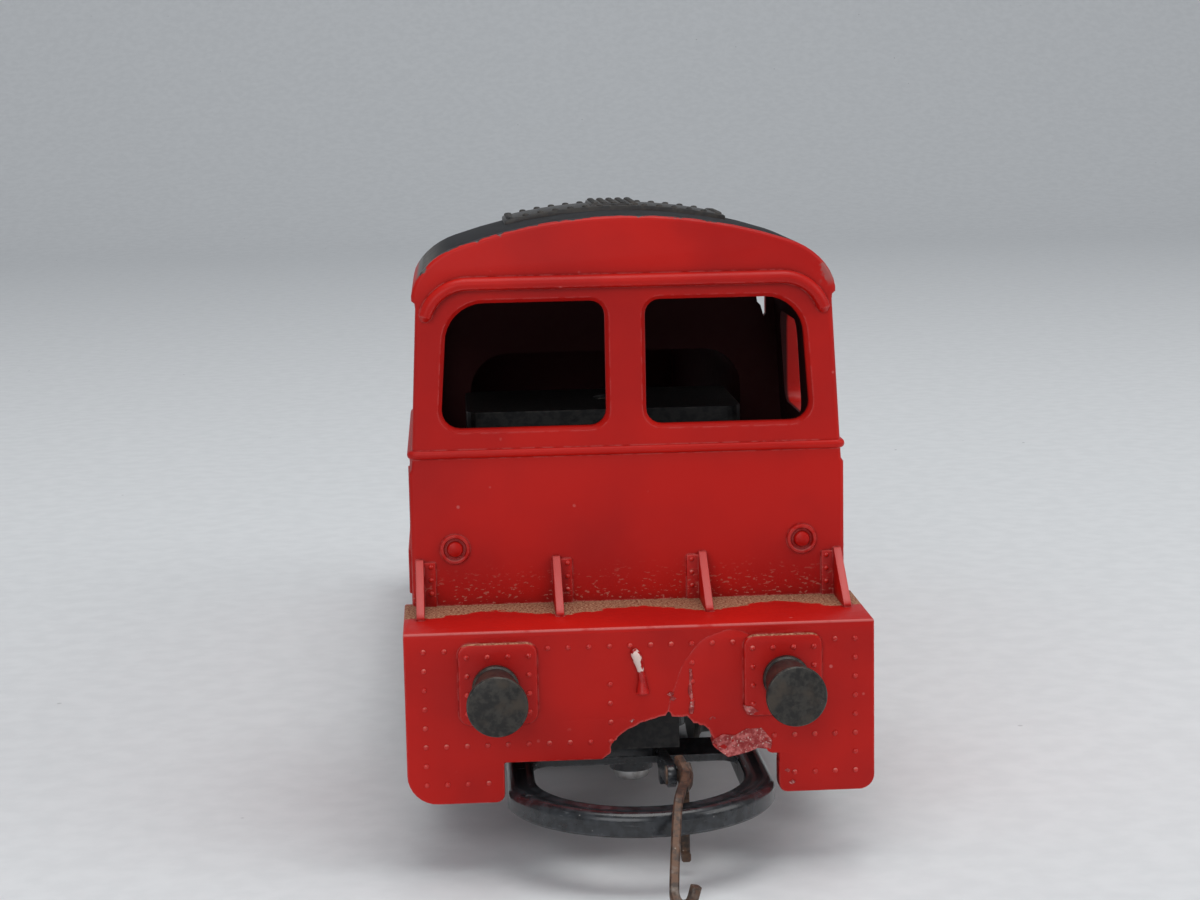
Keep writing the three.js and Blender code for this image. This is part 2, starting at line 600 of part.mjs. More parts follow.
function wheel(side) {
  const sign = sideSign[side];
  const w = WHEEL_WIDTH;
  const bore = AXLE_R + 0.05;
  const profile = [[bore, 0], [AXLE_Z, 0], [AXLE_Z, 0.5], [TREAD_R, 0.9], [TREAD_R - 0.15, w], [5.7, w],
    [5.5, w - 0.9], [2.3, w - 0.9], [2.1, w], [bore, w], [bore, 0]];
  const disc = solid(turned(profile, 24).rotateY(sign * Math.PI / 2).translate(sign * WHEEL_BACK_X, 0, 0));
  const [x0, x1] = span(sign * (WHEEL_BACK_X + 1), sign * (WHEEL_FACE_X + BOSS_PROUD));
  const [h0, h1] = span(sign * (WHEEL_BACK_X + 1.4), sign * (WHEEL_FACE_X + 1));
  const boss = rodX(1.7, x0, x1, crankY(side), crankZ(side));
  return cut(union(disc, boss), rodX(0.8, h0, h1, crankY(side), crankZ(side), 10));
}

function crankpin(side) {
  const start = WHEEL_BACK_X + 1.5;
  const shoulder = WHEEL_FACE_X + BOSS_PROUD + FIT_GAP;
  const rodEnd = ROD_X + ROD_T + 0.25;
  const profile = [[0, start], [0.7, start], [0.7, shoulder], [1, shoulder], [1, rodEnd], [1.5, rodEnd],
    [1.5, rodEnd + 0.4], [1.2, rodEnd + 0.7], [0, rodEnd + 0.7]];
  const turn = sideSign[side] * Math.PI / 2;
  return solid(turned(profile, 12).rotateY(turn).translate(0, crankY(side), crankZ(side)));
}

function axle() {
  return rodX(AXLE_R, -WHEEL_FACE_X + 0.2, WHEEL_FACE_X - 0.2, 0, 0, 12);
}

for (const end of ['rear', 'front']) {
  const wheelset = groupAt(0, axleY[end], AXLE_Z);
  piece(`axle_${end}`, axle(), BRIGHT_STEEL(), wheelset);
  for (const side of ['left', 'right']) {
    piece(`wheel_${end}_${side}`, wheel(side), DARK_STEEL(), wheelset);
    piece(`crankpin_${end}_${side}`, crankpin(side), BRIGHT_STEEL(), wheelset);
  }
}

function couplingRod(side) {
  const eyeR = 1.9;
  const barHalf = 0.85;
  const half = WHEELBASE / 2;
  const x0 = sideSign[side] > 0 ? ROD_X : -ROD_X - ROD_T;
  const x1 = x0 + ROD_T;
  const bar = box(x0, x1, -half, half, -barHalf, barHalf);
  const eyes = [-half, half].map((y) => rodX(eyeR, x0, x1, y, 0, 14));
  return cut(union(bar, eyes), [-half, half].map((y) => rodX(1 + RUNNING_GAP, x0 - 1, x1 + 1, y, 0, 12)));
}

for (const side of ['left', 'right']) {
  const rodSpot = groupAt(0, crankY(side), AXLE_Z + crankZ(side));
  piece(`coupling_rod_${side}`, couplingRod(side), BRIGHT_STEEL(), rodSpot);
}

// ---------------------------------------------------------------- worm drive

const TOOTH_UP = 0.32;
const TOOTH_DOWN = 0.44;
const LEAD = Math.PI * MODULE;
const LEAD_SLOPE = LEAD / (2 * Math.PI * WORM_R);
const TOOTH_HALF = 0.235;        // half thickness on the pitch line; less than a quarter pitch for backlash
const FLANK = Math.tan(20 * Math.PI / 180);

// The gear's sections are turned a little more at each step across its face, to follow the worm's lead.
function wormGear() {
  const half = 1.2;
  const [low, high] = [GEAR_R - TOOTH_DOWN, GEAR_R + TOOTH_UP];
  const [thick, thin] = [TOOTH_HALF + TOOTH_DOWN * FLANK, TOOTH_HALF - TOOTH_UP * FLANK];
  const profile = [];
  for (let i = 0; i < GEAR_TEETH; i += 1) {
    const middle = Math.PI / 2 + 2 * Math.PI * (i + 0.5) / GEAR_TEETH;
    const tooth = [[low, -thick], [high, -thin], [high, thin], [low, thick]];
    profile.push(...tooth.map(([r, t]) => [r, middle + t / r]));
  }
  const places = [-half, 0, half];
  const twist = LEAD_SLOPE / GEAR_R;
  const sections = places.map((x) => profile.map(([r, angle]) => {
    const turnedBy = angle + twist * x;
    return [x, r * Math.cos(turnedBy), r * Math.sin(turnedBy)];
  }));
  const teeth = stacked(sections, places.map((x) => [x, 0, 0]));
  const hub = rodX(2.4, half - 0.2, 3.2, 0, 0);
  return cut(union(teeth, hub), rodX(AXLE_R + 0.1, -5, 5, 0, 0));
}

// A right-handed thread about Y: a trapezium swept along a helix, joined to a plain core.
function worm() {
  const turns = 4;
  const perTurn = 14;
  const half = turns * LEAD / 2;
  const root = WORM_R - TOOTH_DOWN;
  const section = [[root - 0.15, -TOOTH_HALF - (TOOTH_DOWN + 0.15) * FLANK],
    [WORM_R + TOOTH_UP, -TOOTH_HALF + TOOTH_UP * FLANK], [WORM_R + TOOTH_UP, TOOTH_HALF - TOOTH_UP * FLANK],
    [root - 0.15, TOOTH_HALF + (TOOTH_DOWN + 0.15) * FLANK]];
  const steps = turns * perTurn;
  const positions = [];
  for (let i = 0; i <= steps; i += 1) {
    const angle = Math.PI + 2 * Math.PI * (i / perTurn - turns / 2);
    const y = LEAD * (i / perTurn - turns / 2);
    for (const [r, offset] of section) positions.push(r * Math.sin(angle), y + offset, r * Math.cos(angle));
  }
  const faces = [];
  for (let i = 0; i < steps; i += 1) {
    for (let k = 0; k < 4; k += 1) {
      const [a, b] = [i * 4 + k, i * 4 + (k + 1) % 4];
      faces.push(a, a + 4, b, b, a + 4, b + 4);
    }
  }
  const end = steps * 4;
  faces.push(0, 1, 2, 0, 2, 3, end, end + 2, end + 1, end, end + 3, end + 2);
  const geometry = new THREE.BufferGeometry();
  geometry.setAttribute('position', new THREE.Float32BufferAttribute(positions, 3));
  geometry.setIndex(faces);
  const core = rodY(root, -half - 0.7, half + 0.7, 0, 0, 14);
  return cut(union(solid(geometry), core), rodY(SHAFT_R + 0.1, -10, 10, 0, 0));
}

const rearAxleGroup = groupAt(0, axleY.rear, AXLE_Z);
piece('worm_gear', wormGear(), BRASS(), rearAxleGroup);
const wormGroup = groupAt(0, axleY.rear, MOTOR_Z);
piece('worm', worm(), BRIGHT_STEEL(), wormGroup);

// ---------------------------------------------------------------- motor

const ARMATURE = { y0: -8, y1: 0, r: 6.2 };
const POLE_GAP = 0.5;
const MOTOR_HALF = 9;
const POLE_TOP = 8;

function armatureCore() {
  const { y0, y1, r } = ARMATURE;
  const poles = [0, 1, 2].flatMap((i) => {
    const middle = Math.PI / 2 + i * 2 * Math.PI / 3;
    const spread = 0.28 * Math.PI;
    const rim = new THREE.Shape();
    rim.absarc(0, 0, r, middle - spread, middle + spread);
    rim.absarc(0, 0, r - 1.1, middle + spread, middle - spread, true);
    const armBox = new THREE.BoxGeometry(2.4, y1 - y0, r - 0.6).translate(0, (y0 + y1) / 2, (r - 0.6) / 2);
    const arm = solid(armBox.rotateY(Math.PI / 2 - middle));
    return [alongY(rim, y0, y1, 5), arm];
  });
  return cut(union(rodY(2.1, y0, y1, 0, 0), poles), rodY(SHAFT_R + 0.1, -20, 20, 0, 0));
}

function winding(index) {
  const { y0, y1, r } = ARMATURE;
  const [inner, outer] = [2.4, r - 1.8];
  const coil = box(-2.3, 2.3, y0 - 1.2, y1 + 1.2, inner, outer);
  const passage = box(-1.3, 1.3, y0 - FIT_GAP, y1 + FIT_GAP, inner - 1, outer + 1);
  const turnBack = new THREE.Matrix4().makeRotationY(-index * 2 * Math.PI / 3);
  const geometry = geometryOf(cut(coil, passage));
  return solid(geometry.applyMatrix4(turnBack));
}

const motor = groupAt(0, 0, MOTOR_Z);
piece('motor_shaft', rodY(SHAFT_R, -25, 11.5, 0, 0), BRIGHT_STEEL(), motor);
piece('armature_core', armatureCore(), DARK_STEEL(), motor);
for (const index of [0, 1, 2]) piece(`armature_winding_${index + 1}`, winding(index), COPPER(), motor);
piece('commutator', cut(rodY(2, 1.9, 6, 0, 0), rodY(SHAFT_R + 0.1, 0, 8, 0, 0)), COPPER(), motor);

function poleOutline(sign) {
  const inner = ARMATURE.r + POLE_GAP;
  return cut(box(...span(sign * 2.2, sign * MOTOR_HALF), ARMATURE.y0, ARMATURE.y1, -6.6, POLE_TOP),
    rodY(inner, ARMATURE.y0 - 1, ARMATURE.y1 + 1, 0, 0, 24));
}

piece('pole_piece_left', poleOutline(-1), DARK_STEEL(), motor);
piece('pole_piece_right', poleOutline(1), DARK_STEEL(), motor);
const magnet = box(-MOTOR_HALF, MOTOR_HALF, ARMATURE.y0, ARMATURE.y1, POLE_TOP + FIT_GAP, 13.5);
piece('motor_magnet', magnet, BLACK_CASTING(), motor);

function motorBracket(y0, y1) {
  const plate = alongY(roundedRect(-6, 6, MOTOR_BED_Z + FIT_GAP - MOTOR_Z, 6.5, 1), y0, y1, 2);
  return cut(plate, rodY(1.95, y0 - 1, y1 + 1, 0, 0));
}

const bearing = (y0, y1) => cut(rodY(1.8, y0, y1, 0, 0), rodY(SHAFT_R + RUNNING_GAP, y0 - 1, y1 + 1, 0, 0));

piece('motor_bracket_rear', motorBracket(-12.2, -11), BRIGHT_STEEL(), motor);
piece('motor_bracket_front', motorBracket(7.8, 9), BRIGHT_STEEL(), motor);
piece('motor_bearing_rear', bearing(-12.8, -10.6), BRASS(), motor);
piece('motor_bearing_front', bearing(7.4, 9.6), BRASS(), motor);

function brushHolder() {
  const block = box(-5.6, 5.6, 2.6, 5.4, -2.6, 5);
  return cut(block, rodY(2.5, 0, 8, 0, 0, 14), box(-7, 7, 3.1, 4.9, -1, 1));
}

piece('brush_holder', brushHolder(), BLACK_PLASTIC(), motor);
piece('brush_left', box(-5.6, -2.1, 3.2, 4.8, -0.9, 0.9), CARBON(), motor);
piece('brush_right', box(2.1, 5.6, 3.2, 4.8, -0.9, 0.9), CARBON(), motor);
const springRight = [[4.2, 4, 7], [6.5, 4, 5.2], [6.6, 4, 2], [6.1, 4, -0.6]];
const springLeft = springRight.map(([x, y, z]) => [-x, y, z]).reverse();
piece('brush_spring', wire([...springLeft, [0, 4, 7.4], ...springRight], 0.3, 20), BRIGHT_STEEL(), motor);
piece('suppressor_capacitor', rodY(2.2, 3.4, 4.8, 0, 10.2), finish(0xa8632a, 0.5), motor);

// ---------------------------------------------------------------- current pickups

function pickup(sign) {
  const strip = outline([[-24, 5.3], [24, 5.3], [24, 8.6], [23, 8.6], [21.5, 6.7], [-21.5, 6.7], [-23, 8.6],
    [-24, 8.6]]);
  return alongX(strip, ...span(sign * (RAIL_OUT + 0.25), sign * (RAIL_OUT + 0.55)));
}

for (const [side, sign] of [['left', -1], ['right', 1]]) {
  piece(`pickup_${side}`, pickup(sign), BRASS());
  const route = [[6.6, 6.6, 7.3], [7, 6.4, 9.5], [6.8, 6.2, 12], [6.2, 5.9, 13.5], [4.6, 5.9, 14]];
  const lead = wire(route.map(([x, y, z]) => [sign * x, y, z]), 0.35, 10);
  piece(`motor_lead_${side}`, lead, finish(side === 'left' ? 0x181818 : 0x8d1a14, 0.5));
}

// ---------------------------------------------------------------- couplings

function loopOutline() {
  const shape = new THREE.Shape();
  const reach = Math.asin(LOOP_HALF / LOOP_OUTER_R);
  shape.absarc(0, LOOP_CENTRE_Y, LOOP_OUTER_R, -Math.PI / 2 - reach, -Math.PI / 2 + reach);
  shape.lineTo(LOOP_HALF, COUPLER_END);
  shape.lineTo(-LOOP_HALF, COUPLER_END);
  const gap = new THREE.Path();
  const corner = 1.5;
  gap.absarc(0, LOOP_CENTRE_Y, LOOP_INNER_R, -Math.PI, 0);
  gap.absarc(LOOP_INNER_R - corner, CROSSBAR_Y - corner, corner, 0, Math.PI / 2);
  gap.absarc(corner - LOOP_INNER_R, CROSSBAR_Y - corner, corner, Math.PI / 2, Math.PI);
  shape.holes.push(gap);
  return shape;
}

const EAR_T = 0.7;
const EAR_GAP = 0.15;

// The loop is thick all round and thin across, with a block for the screw and two ears for the hook's pin.
function couplingBar() {
  const low = COUPLER_TOP - COUPLER_T;
  const loop = alongZ(loopOutline(), low, COUPLER_TOP, 10);
  const relief = box(-LOOP_INNER_R, LOOP_INNER_R, CROSSBAR_Y - 0.5, COUPLER_END - 1.1, low - 1, CROSSBAR_LOW);
  const screwBlock = box(-1.9, 1.9, -COUPLING_SCREW_Y - 1.9, COUPLER_END, low, COUPLER_TOP);
  const seat = box(-3, 1.6, CROSSBAR_Y, COUPLER_END, COUPLER_TOP - 0.5, TONGUE_LOW - FIT_GAP);
  const [py, pz] = [HOOK_PIVOT_Y, HOOK_PIVOT_Z];
  const earFoot = CROSSBAR_Y + 1.5;
  const lugLow = low + 0.2;
  const earSide = outline([[py, pz - 1], [py - 0.9, pz - 0.6], [py - 0.9, pz + 0.4], [py - 0.4, pz + 0.85],
    [py + 0.6, pz + 0.85], [CROSSBAR_Y - 1, pz - 0.3], [earFoot, COUPLER_TOP], [earFoot, CROSSBAR_LOW + 0.2],
    [-49, CROSSBAR_LOW - 0.1], [-49, lugLow], [-50.5, lugLow], [-50.8, CROSSBAR_LOW - 0.1]]);
  const earX = HOOK_T / 2 + EAR_GAP;
  const ears = [
    alongX(earSide, HOOK_X - earX - EAR_T, HOOK_X - earX),
    alongX(earSide, HOOK_X + earX, HOOK_X + earX + EAR_T),
  ];
  const pinHole = rodX(0.5 + RUNNING_GAP, 0, 6, py, pz, 10);
  const screwHole = rodZ(SCREW_R + RUNNING_GAP, low - 1, TONGUE_LOW, 0, -COUPLING_SCREW_Y);
  return cut(union(cut(loop, relief), screwBlock, seat, ears), pinHole, screwHole);
}

// The hook is a thin strip: over the bar, down in front of it towards the middle, and curled up at its end.
// Its eye turns on the pin, and a second strip drops from beside the eye, inside the loop.
function hookStrip() {
  const [py, pz] = [HOOK_PIVOT_Y, HOOK_PIVOT_Z];
  const [x0, x1] = [HOOK_X - HOOK_T / 2, HOOK_X + HOOK_T / 2];
  const half = 0.38;
  const section = outline([[-half, -half], [half, -half], [half, half], [-half, half]]);
  const overBar = [[HOOK_X, py - 0.3, pz + 0.35], [HOOK_X, py - 1.6, pz + 0.4], [2.8, py - 3.4, pz + 0.2]];
  const down = [[2.1, -63.3, 7.2], [1.6, -66.4, 5.3], [1.15, -69.6, 3.2]];
  const curl = [[1.1, -70.6, 2.35], [1.5, -71.1, 1.95], [2.2, -71.2, 2.2], [2.6, -71.2, 3.4]];
  const shank = swept(section, [...overBar, ...down, ...curl], 22);
  const eye = rodX(0.9, x0, x1, py, pz);
  const dropper = box(x0, x1, py - 1.2, py - 0.5, 1.4, pz + 0.4);
  const foot = box(x0, x1, py - 2.1, py - 0.5, 1.1, 1.8);
  return cut(union(shank, eye, dropper, foot), rodX(0.5 + RUNNING_GAP, 0, 6, py, pz, 10));
}

for (const [end, turn] of [['rear', 0], ['front', Math.PI]]) {
  const group = groupAt(0, 0, 0, turn);
  piece(`coupling_bar_${end}`, couplingBar(), BLACK_PLASTIC(), group);
  piece(`coupling_hook_${end}`, hookStrip(), RUSTY_STEEL(), group);
  const pin = rodX(0.5, HOOK_X - 1.5, HOOK_X + 1.5, HOOK_PIVOT_Y, HOOK_PIVOT_Z, 10);
  piece(`hook_pin_${end}`, pin, BRIGHT_STEEL(), group);
  const screwSpot = new THREE.Group();
  screwSpot.position.set(0, -COUPLING_SCREW_Y, COUPLER_TOP - COUPLER_T - FIT_GAP);
  group.add(screwSpot);
  piece(`coupling_screw_${end}`, screw(1.5, 7), BRIGHT_STEEL(), screwSpot);
}

export default locomotive;
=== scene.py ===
"""The looks of a small model diesel shunter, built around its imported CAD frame.

Shapes are worked out in millimetres.
"""

import math
import random

import bmesh
import bpy
from mathutils import Matrix, Vector, noise


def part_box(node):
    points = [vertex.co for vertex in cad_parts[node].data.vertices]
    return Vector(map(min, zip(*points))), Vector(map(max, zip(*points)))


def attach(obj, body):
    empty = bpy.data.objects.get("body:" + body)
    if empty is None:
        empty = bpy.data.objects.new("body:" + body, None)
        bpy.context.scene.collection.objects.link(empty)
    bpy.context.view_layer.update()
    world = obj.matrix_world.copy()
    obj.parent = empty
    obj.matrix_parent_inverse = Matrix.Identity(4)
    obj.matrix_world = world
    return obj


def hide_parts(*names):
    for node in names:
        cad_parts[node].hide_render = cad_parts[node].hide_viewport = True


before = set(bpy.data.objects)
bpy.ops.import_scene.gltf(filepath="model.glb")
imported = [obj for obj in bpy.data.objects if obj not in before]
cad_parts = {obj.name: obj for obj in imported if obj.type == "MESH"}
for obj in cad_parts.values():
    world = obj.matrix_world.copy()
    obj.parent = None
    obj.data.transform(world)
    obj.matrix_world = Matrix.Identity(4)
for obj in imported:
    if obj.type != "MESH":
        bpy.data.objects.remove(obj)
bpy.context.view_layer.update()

MM = 0.001


# ---------------------------------------------------------------- sizes, from the frame


def span(node):
    low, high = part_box(node)
    return low / MM, high / MM


def middle(node):
    low, high = span(node)
    return (low + high) / 2


shell_low, shell_high = span("body_shell")
buffer_axis = middle("buffer_rear_right")

HALF_LENGTH = 56.0
BEAM_HALF = shell_high.x
BEAM_LOW = shell_low.z
BEAM_T = 1.6
DECK_Z = 19.4
DECK_T = 1.3
WALL = 1.15
SIDE_WALL = 1.5
NOTCH_HALF = 10.85
NOTCH_Z = 8.8
CAB_REAR = -46.0
CAB_FRONT = -20.0
CAB_HALF = 17.8
SKIRT_Z = 10.0
WAIST_Z = 31.9
EAVE_Z = 44.4
EAVE_HALF = 17.2
CANT_HALF = 16.9
WAIST_HALF = 17.6
ROOF_Z = 50.9
CROWN_R = 42.0
DROOP_START = -31.0
DROOP = 0.015
BONNET_HALF = 13.5
BONNET_TOP = 38.4
BONNET_FRONT = 46.0
BONNET_CORNER = 4.0
PAD_X = 11.2
BAY_START = 6.0          # where the dust between the platform's brackets reaches furthest
BAY = 11.6
BRACKET_X = (-17.15, -6.0, 6.0, 17.15)
FLANGE_T = 0.28         # how far a bracket's flange stands off the wall
PAD_FACE = HALF_LENGTH + 0.48
RIVET_PITCH = 1.616
RIVET_ROW = 1.53
RIVET_COLUMNS = 22
RIVET_ROWS = 8
LAMP_X = 14.24
LAMP_Z = DECK_Z + 4.7
POST_HALF = 3.1          # the posts under the deck that the body screws enter
POST_SPAN = (37.1, 45.5)
POST_LOW = 16.3
DOOR_COUNT = 5
DOOR_PITCH = 12.8
DOOR_LENGTH = 11.2
CAB_DOOR_EDGES = (-41.2, -33.0)
ENDS = {"rear": -1, "front": 1}
SIDES = {"left": -1, "right": 1}


# ---------------------------------------------------------------- mesh tools


def prism(points, axis, start, end):
    """A closed solid: an outline in the two other axes, in X, Y, Z order, pushed along one axis."""
    place = {
        "X": lambda a, b, h: (h, a, b),
        "Y": lambda a, b, h: (a, h, b),
        "Z": lambda a, b, h: (a, b, h),
    }[axis]
    bm = bmesh.new()
    rings = [[bm.verts.new(place(a, b, h)) for a, b in points] for h in (start, end)]
    count = len(points)
    for i in range(count):
        j = (i + 1) % count
        bm.faces.new((rings[0][i], rings[0][j], rings[1][j], rings[1][i]))
    bm.faces.new(rings[0])
    bm.faces.new(rings[1])
    bmesh.ops.recalc_face_normals(bm, faces=bm.faces)
    return bm


def block(x0, x1, y0, y1, z0, z1):
    return prism([(x0, z0), (x1, z0), (x1, z1), (x0, z1)], "Y", y0, y1)


def loft(rings):
    """A closed solid through rings of equal length, capped at both ends."""
    bm = bmesh.new()
    made = [[bm.verts.new(p) for p in ring] for ring in rings]
    count = len(rings[0])
    for a, b in zip(made, made[1:]):
        for i in range(count):
            j = (i + 1) % count
            bm.faces.new((a[i], a[j], b[j], b[i]))
    bm.faces.new(made[0])
    bm.faces.new(made[-1])
    bmesh.ops.recalc_face_normals(bm, faces=bm.faces)
    return bm


def turned(profile, axis, centre, sides=40):
    """A solid of revolution from (radius, height) points, heights along +axis from the centre."""
    turn = {
        "X": lambda u, v, h: (h, u, v),
        "Y": lambda u, v, h: (v, h, u),
        "Z": lambda u, v, h: (u, v, h),
    }[axis]
    bm = bmesh.new()
    rings = []
    for radius, height in profile:
        if radius == 0:
            rings.append([bm.verts.new(Vector(turn(0, 0, height)) + Vector(centre))])
            continue
        ring = []
        for i in range(sides):
            angle = math.tau * i / sides
            spot = turn(radius * math.cos(angle), radius * math.sin(angle), height)
            ring.append(bm.verts.new(Vector(spot) + Vector(centre)))
        rings.append(ring)
    for a, b in zip(rings, rings[1:]):
        for i in range(sides):
            j = (i + 1) % sides
            corners = [a[i % len(a)], a[j % len(a)], b[j % len(b)], b[i % len(b)]]
            unique = list(dict.fromkeys(corners))
            if len(unique) > 2:
                bm.faces.new(unique)
    if profile[0] == profile[-1]:
        bmesh.ops.remove_doubles(bm, verts=bm.verts, dist=1e-5)
    bmesh.ops.recalc_face_normals(bm, faces=bm.faces)
    return bm


def swept(path, section, twist=0.0, scale=None):
    """A closed bar: a section of (across, up) points carried along a path without turning about it."""
    points = [Vector(p) for p in path]
    side = None
    rings = []
    for i, point in enumerate(points):
        ahead = points[min(i + 1, len(points) - 1)] - points[max(i - 1, 0)]
        ahead.normalize()
        if side is None:
            side = ahead.cross(Vector((0, 0, 1)))
            if side.length < 0.1:
                side = ahead.cross(Vector((0, 1, 0)))
        side = (side - ahead * side.dot(ahead)).normalized()
        up = side.cross(ahead)
        share = i / (len(points) - 1)
        turn = Matrix.Rotation(twist * share, 3, ahead)
        size = scale(share) if scale else 1.0
        rings.append([point + turn @ (side * a + up * b) * size for a, b in section])
    return loft(rings)


def smooth_path(points, steps=6):
    """A Catmull-Rom curve through the points."""
    knots = [Vector(p) for p in points]
    knots = [knots[0] * 2 - knots[1], *knots, knots[-1] * 2 - knots[-2]]
    path = []
    for p0, p1, p2, p3 in zip(knots, knots[1:], knots[2:], knots[3:]):
        for i in range(steps):
            t = i / steps
            path.append(0.5 * (2 * p1 + (p2 - p0) * t + (2 * p0 - 5 * p1 + 4 * p2 - p3) * t * t
                               + (3 * p1 - p0 - 3 * p2 + p3) * t ** 3))
    path.append(knots[-2])
    return path


def bevelled(bm, width, segments=2, angle=30):
    edges = [e for e in bm.edges if len(e.link_faces) == 2 and e.calc_face_angle(0) > math.radians(angle)]
    bmesh.ops.bevel(bm, geom=edges, offset=width, segments=segments, profile=0.5, affect="EDGES",
                    clamp_overlap=True)
    return bm


def merged(bms):
    """One mesh of several separate solids."""
    whole = bmesh.new()
    for bm in bms:
        mesh = bpy.data.meshes.new("part")
        bm.to_mesh(mesh)
        bm.free()
        whole.from_mesh(mesh)
        bpy.data.meshes.remove(mesh)
    return whole


def working(bm):
    """A scratch object in millimetres, for joining and cutting."""
    mesh = bpy.data.meshes.new("work")
    bm.to_mesh(mesh)
    bm.free()
    obj = bpy.data.objects.new("work", mesh)
    bpy.context.scene.collection.objects.link(obj)
    return obj


def boolean(target, bm, operation):
    """Joins a solid to the target, or cuts it away."""
    tool = working(bm)
    modifier = target.modifiers.new("cut", "BOOLEAN")
    modifier.operation = operation
    modifier.solver = "MANIFOLD"
    modifier.object = tool
    shown = target.evaluated_get(bpy.context.evaluated_depsgraph_get())
    result = bpy.data.meshes.new_from_object(shown)
    target.modifiers.clear()
    old = target.data
    target.data = result
    bpy.data.meshes.remove(old)
    scrap = tool.data
    bpy.data.objects.remove(tool)
    bpy.data.meshes.remove(scrap)


def joined(target, bms):
    for bm in bms:
        boolean(target, bm, "UNION")


def carved(target, bms):
    for bm in bms:
        boolean(target, bm, "DIFFERENCE")


def arc(cx, cy, radius, start, end, steps=8):
    """Points on an arc, angles in degrees."""
    angles = [math.radians(start + (end - start) * i / steps) for i in range(steps + 1)]
    return [(cx + radius * math.cos(a), cy + radius * math.sin(a)) for a in angles]


def rounded_rect(x0, x1, z0, z1, r, steps=6):
    return (arc(x0 + r, z0 + r, r, 180, 270, steps) + arc(x1 - r, z0 + r, r, 270, 360, steps)
            + arc(x1 - r, z1 - r, r, 0, 90, steps) + arc(x0 + r, z1 - r, r, 90, 180, steps))


def mirrored(points):
    return [(-a, b) for a, b in reversed(points)]


def circle(radius, sides):
    angles = [math.tau * i / sides for i in range(sides)]
    return [(radius * math.cos(a), radius * math.sin(a)) for a in angles]


def ordered(a, b):
    return (a, b) if a < b else (b, a)


def sided(sign, a, b):
    """The same span on either side of the middle, lower end first."""
    return ordered(sign * a, sign * b)


def outwards(profile, sign):
    """A turned profile, pointing to one side or the other."""
    return [(r, h * sign) for r, h in profile]


def place_piece(name, source, material, body, replaces=(), sharp=32):
    """Turns a mesh in millimetres, or a working object, into a finished piece in metres."""
    if isinstance(source, bmesh.types.BMesh):
        mesh = bpy.data.meshes.new(name)
        source.to_mesh(mesh)
        source.free()
        obj = bpy.data.objects.new(name, mesh)
        bpy.context.scene.collection.objects.link(obj)
    else:
        obj = source
        obj.name = name
        obj.data.name = name
    obj.data.transform(Matrix.Scale(MM, 4))
    obj.data.shade_smooth()
    obj.data.set_sharp_from_angle(angle=math.radians(sharp))
    obj.data.materials.clear()
    obj.data.materials.append(material)
    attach(obj, body)
    if replaces:
        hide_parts(*replaces)
    return obj


# ---------------------------------------------------------------- material tools


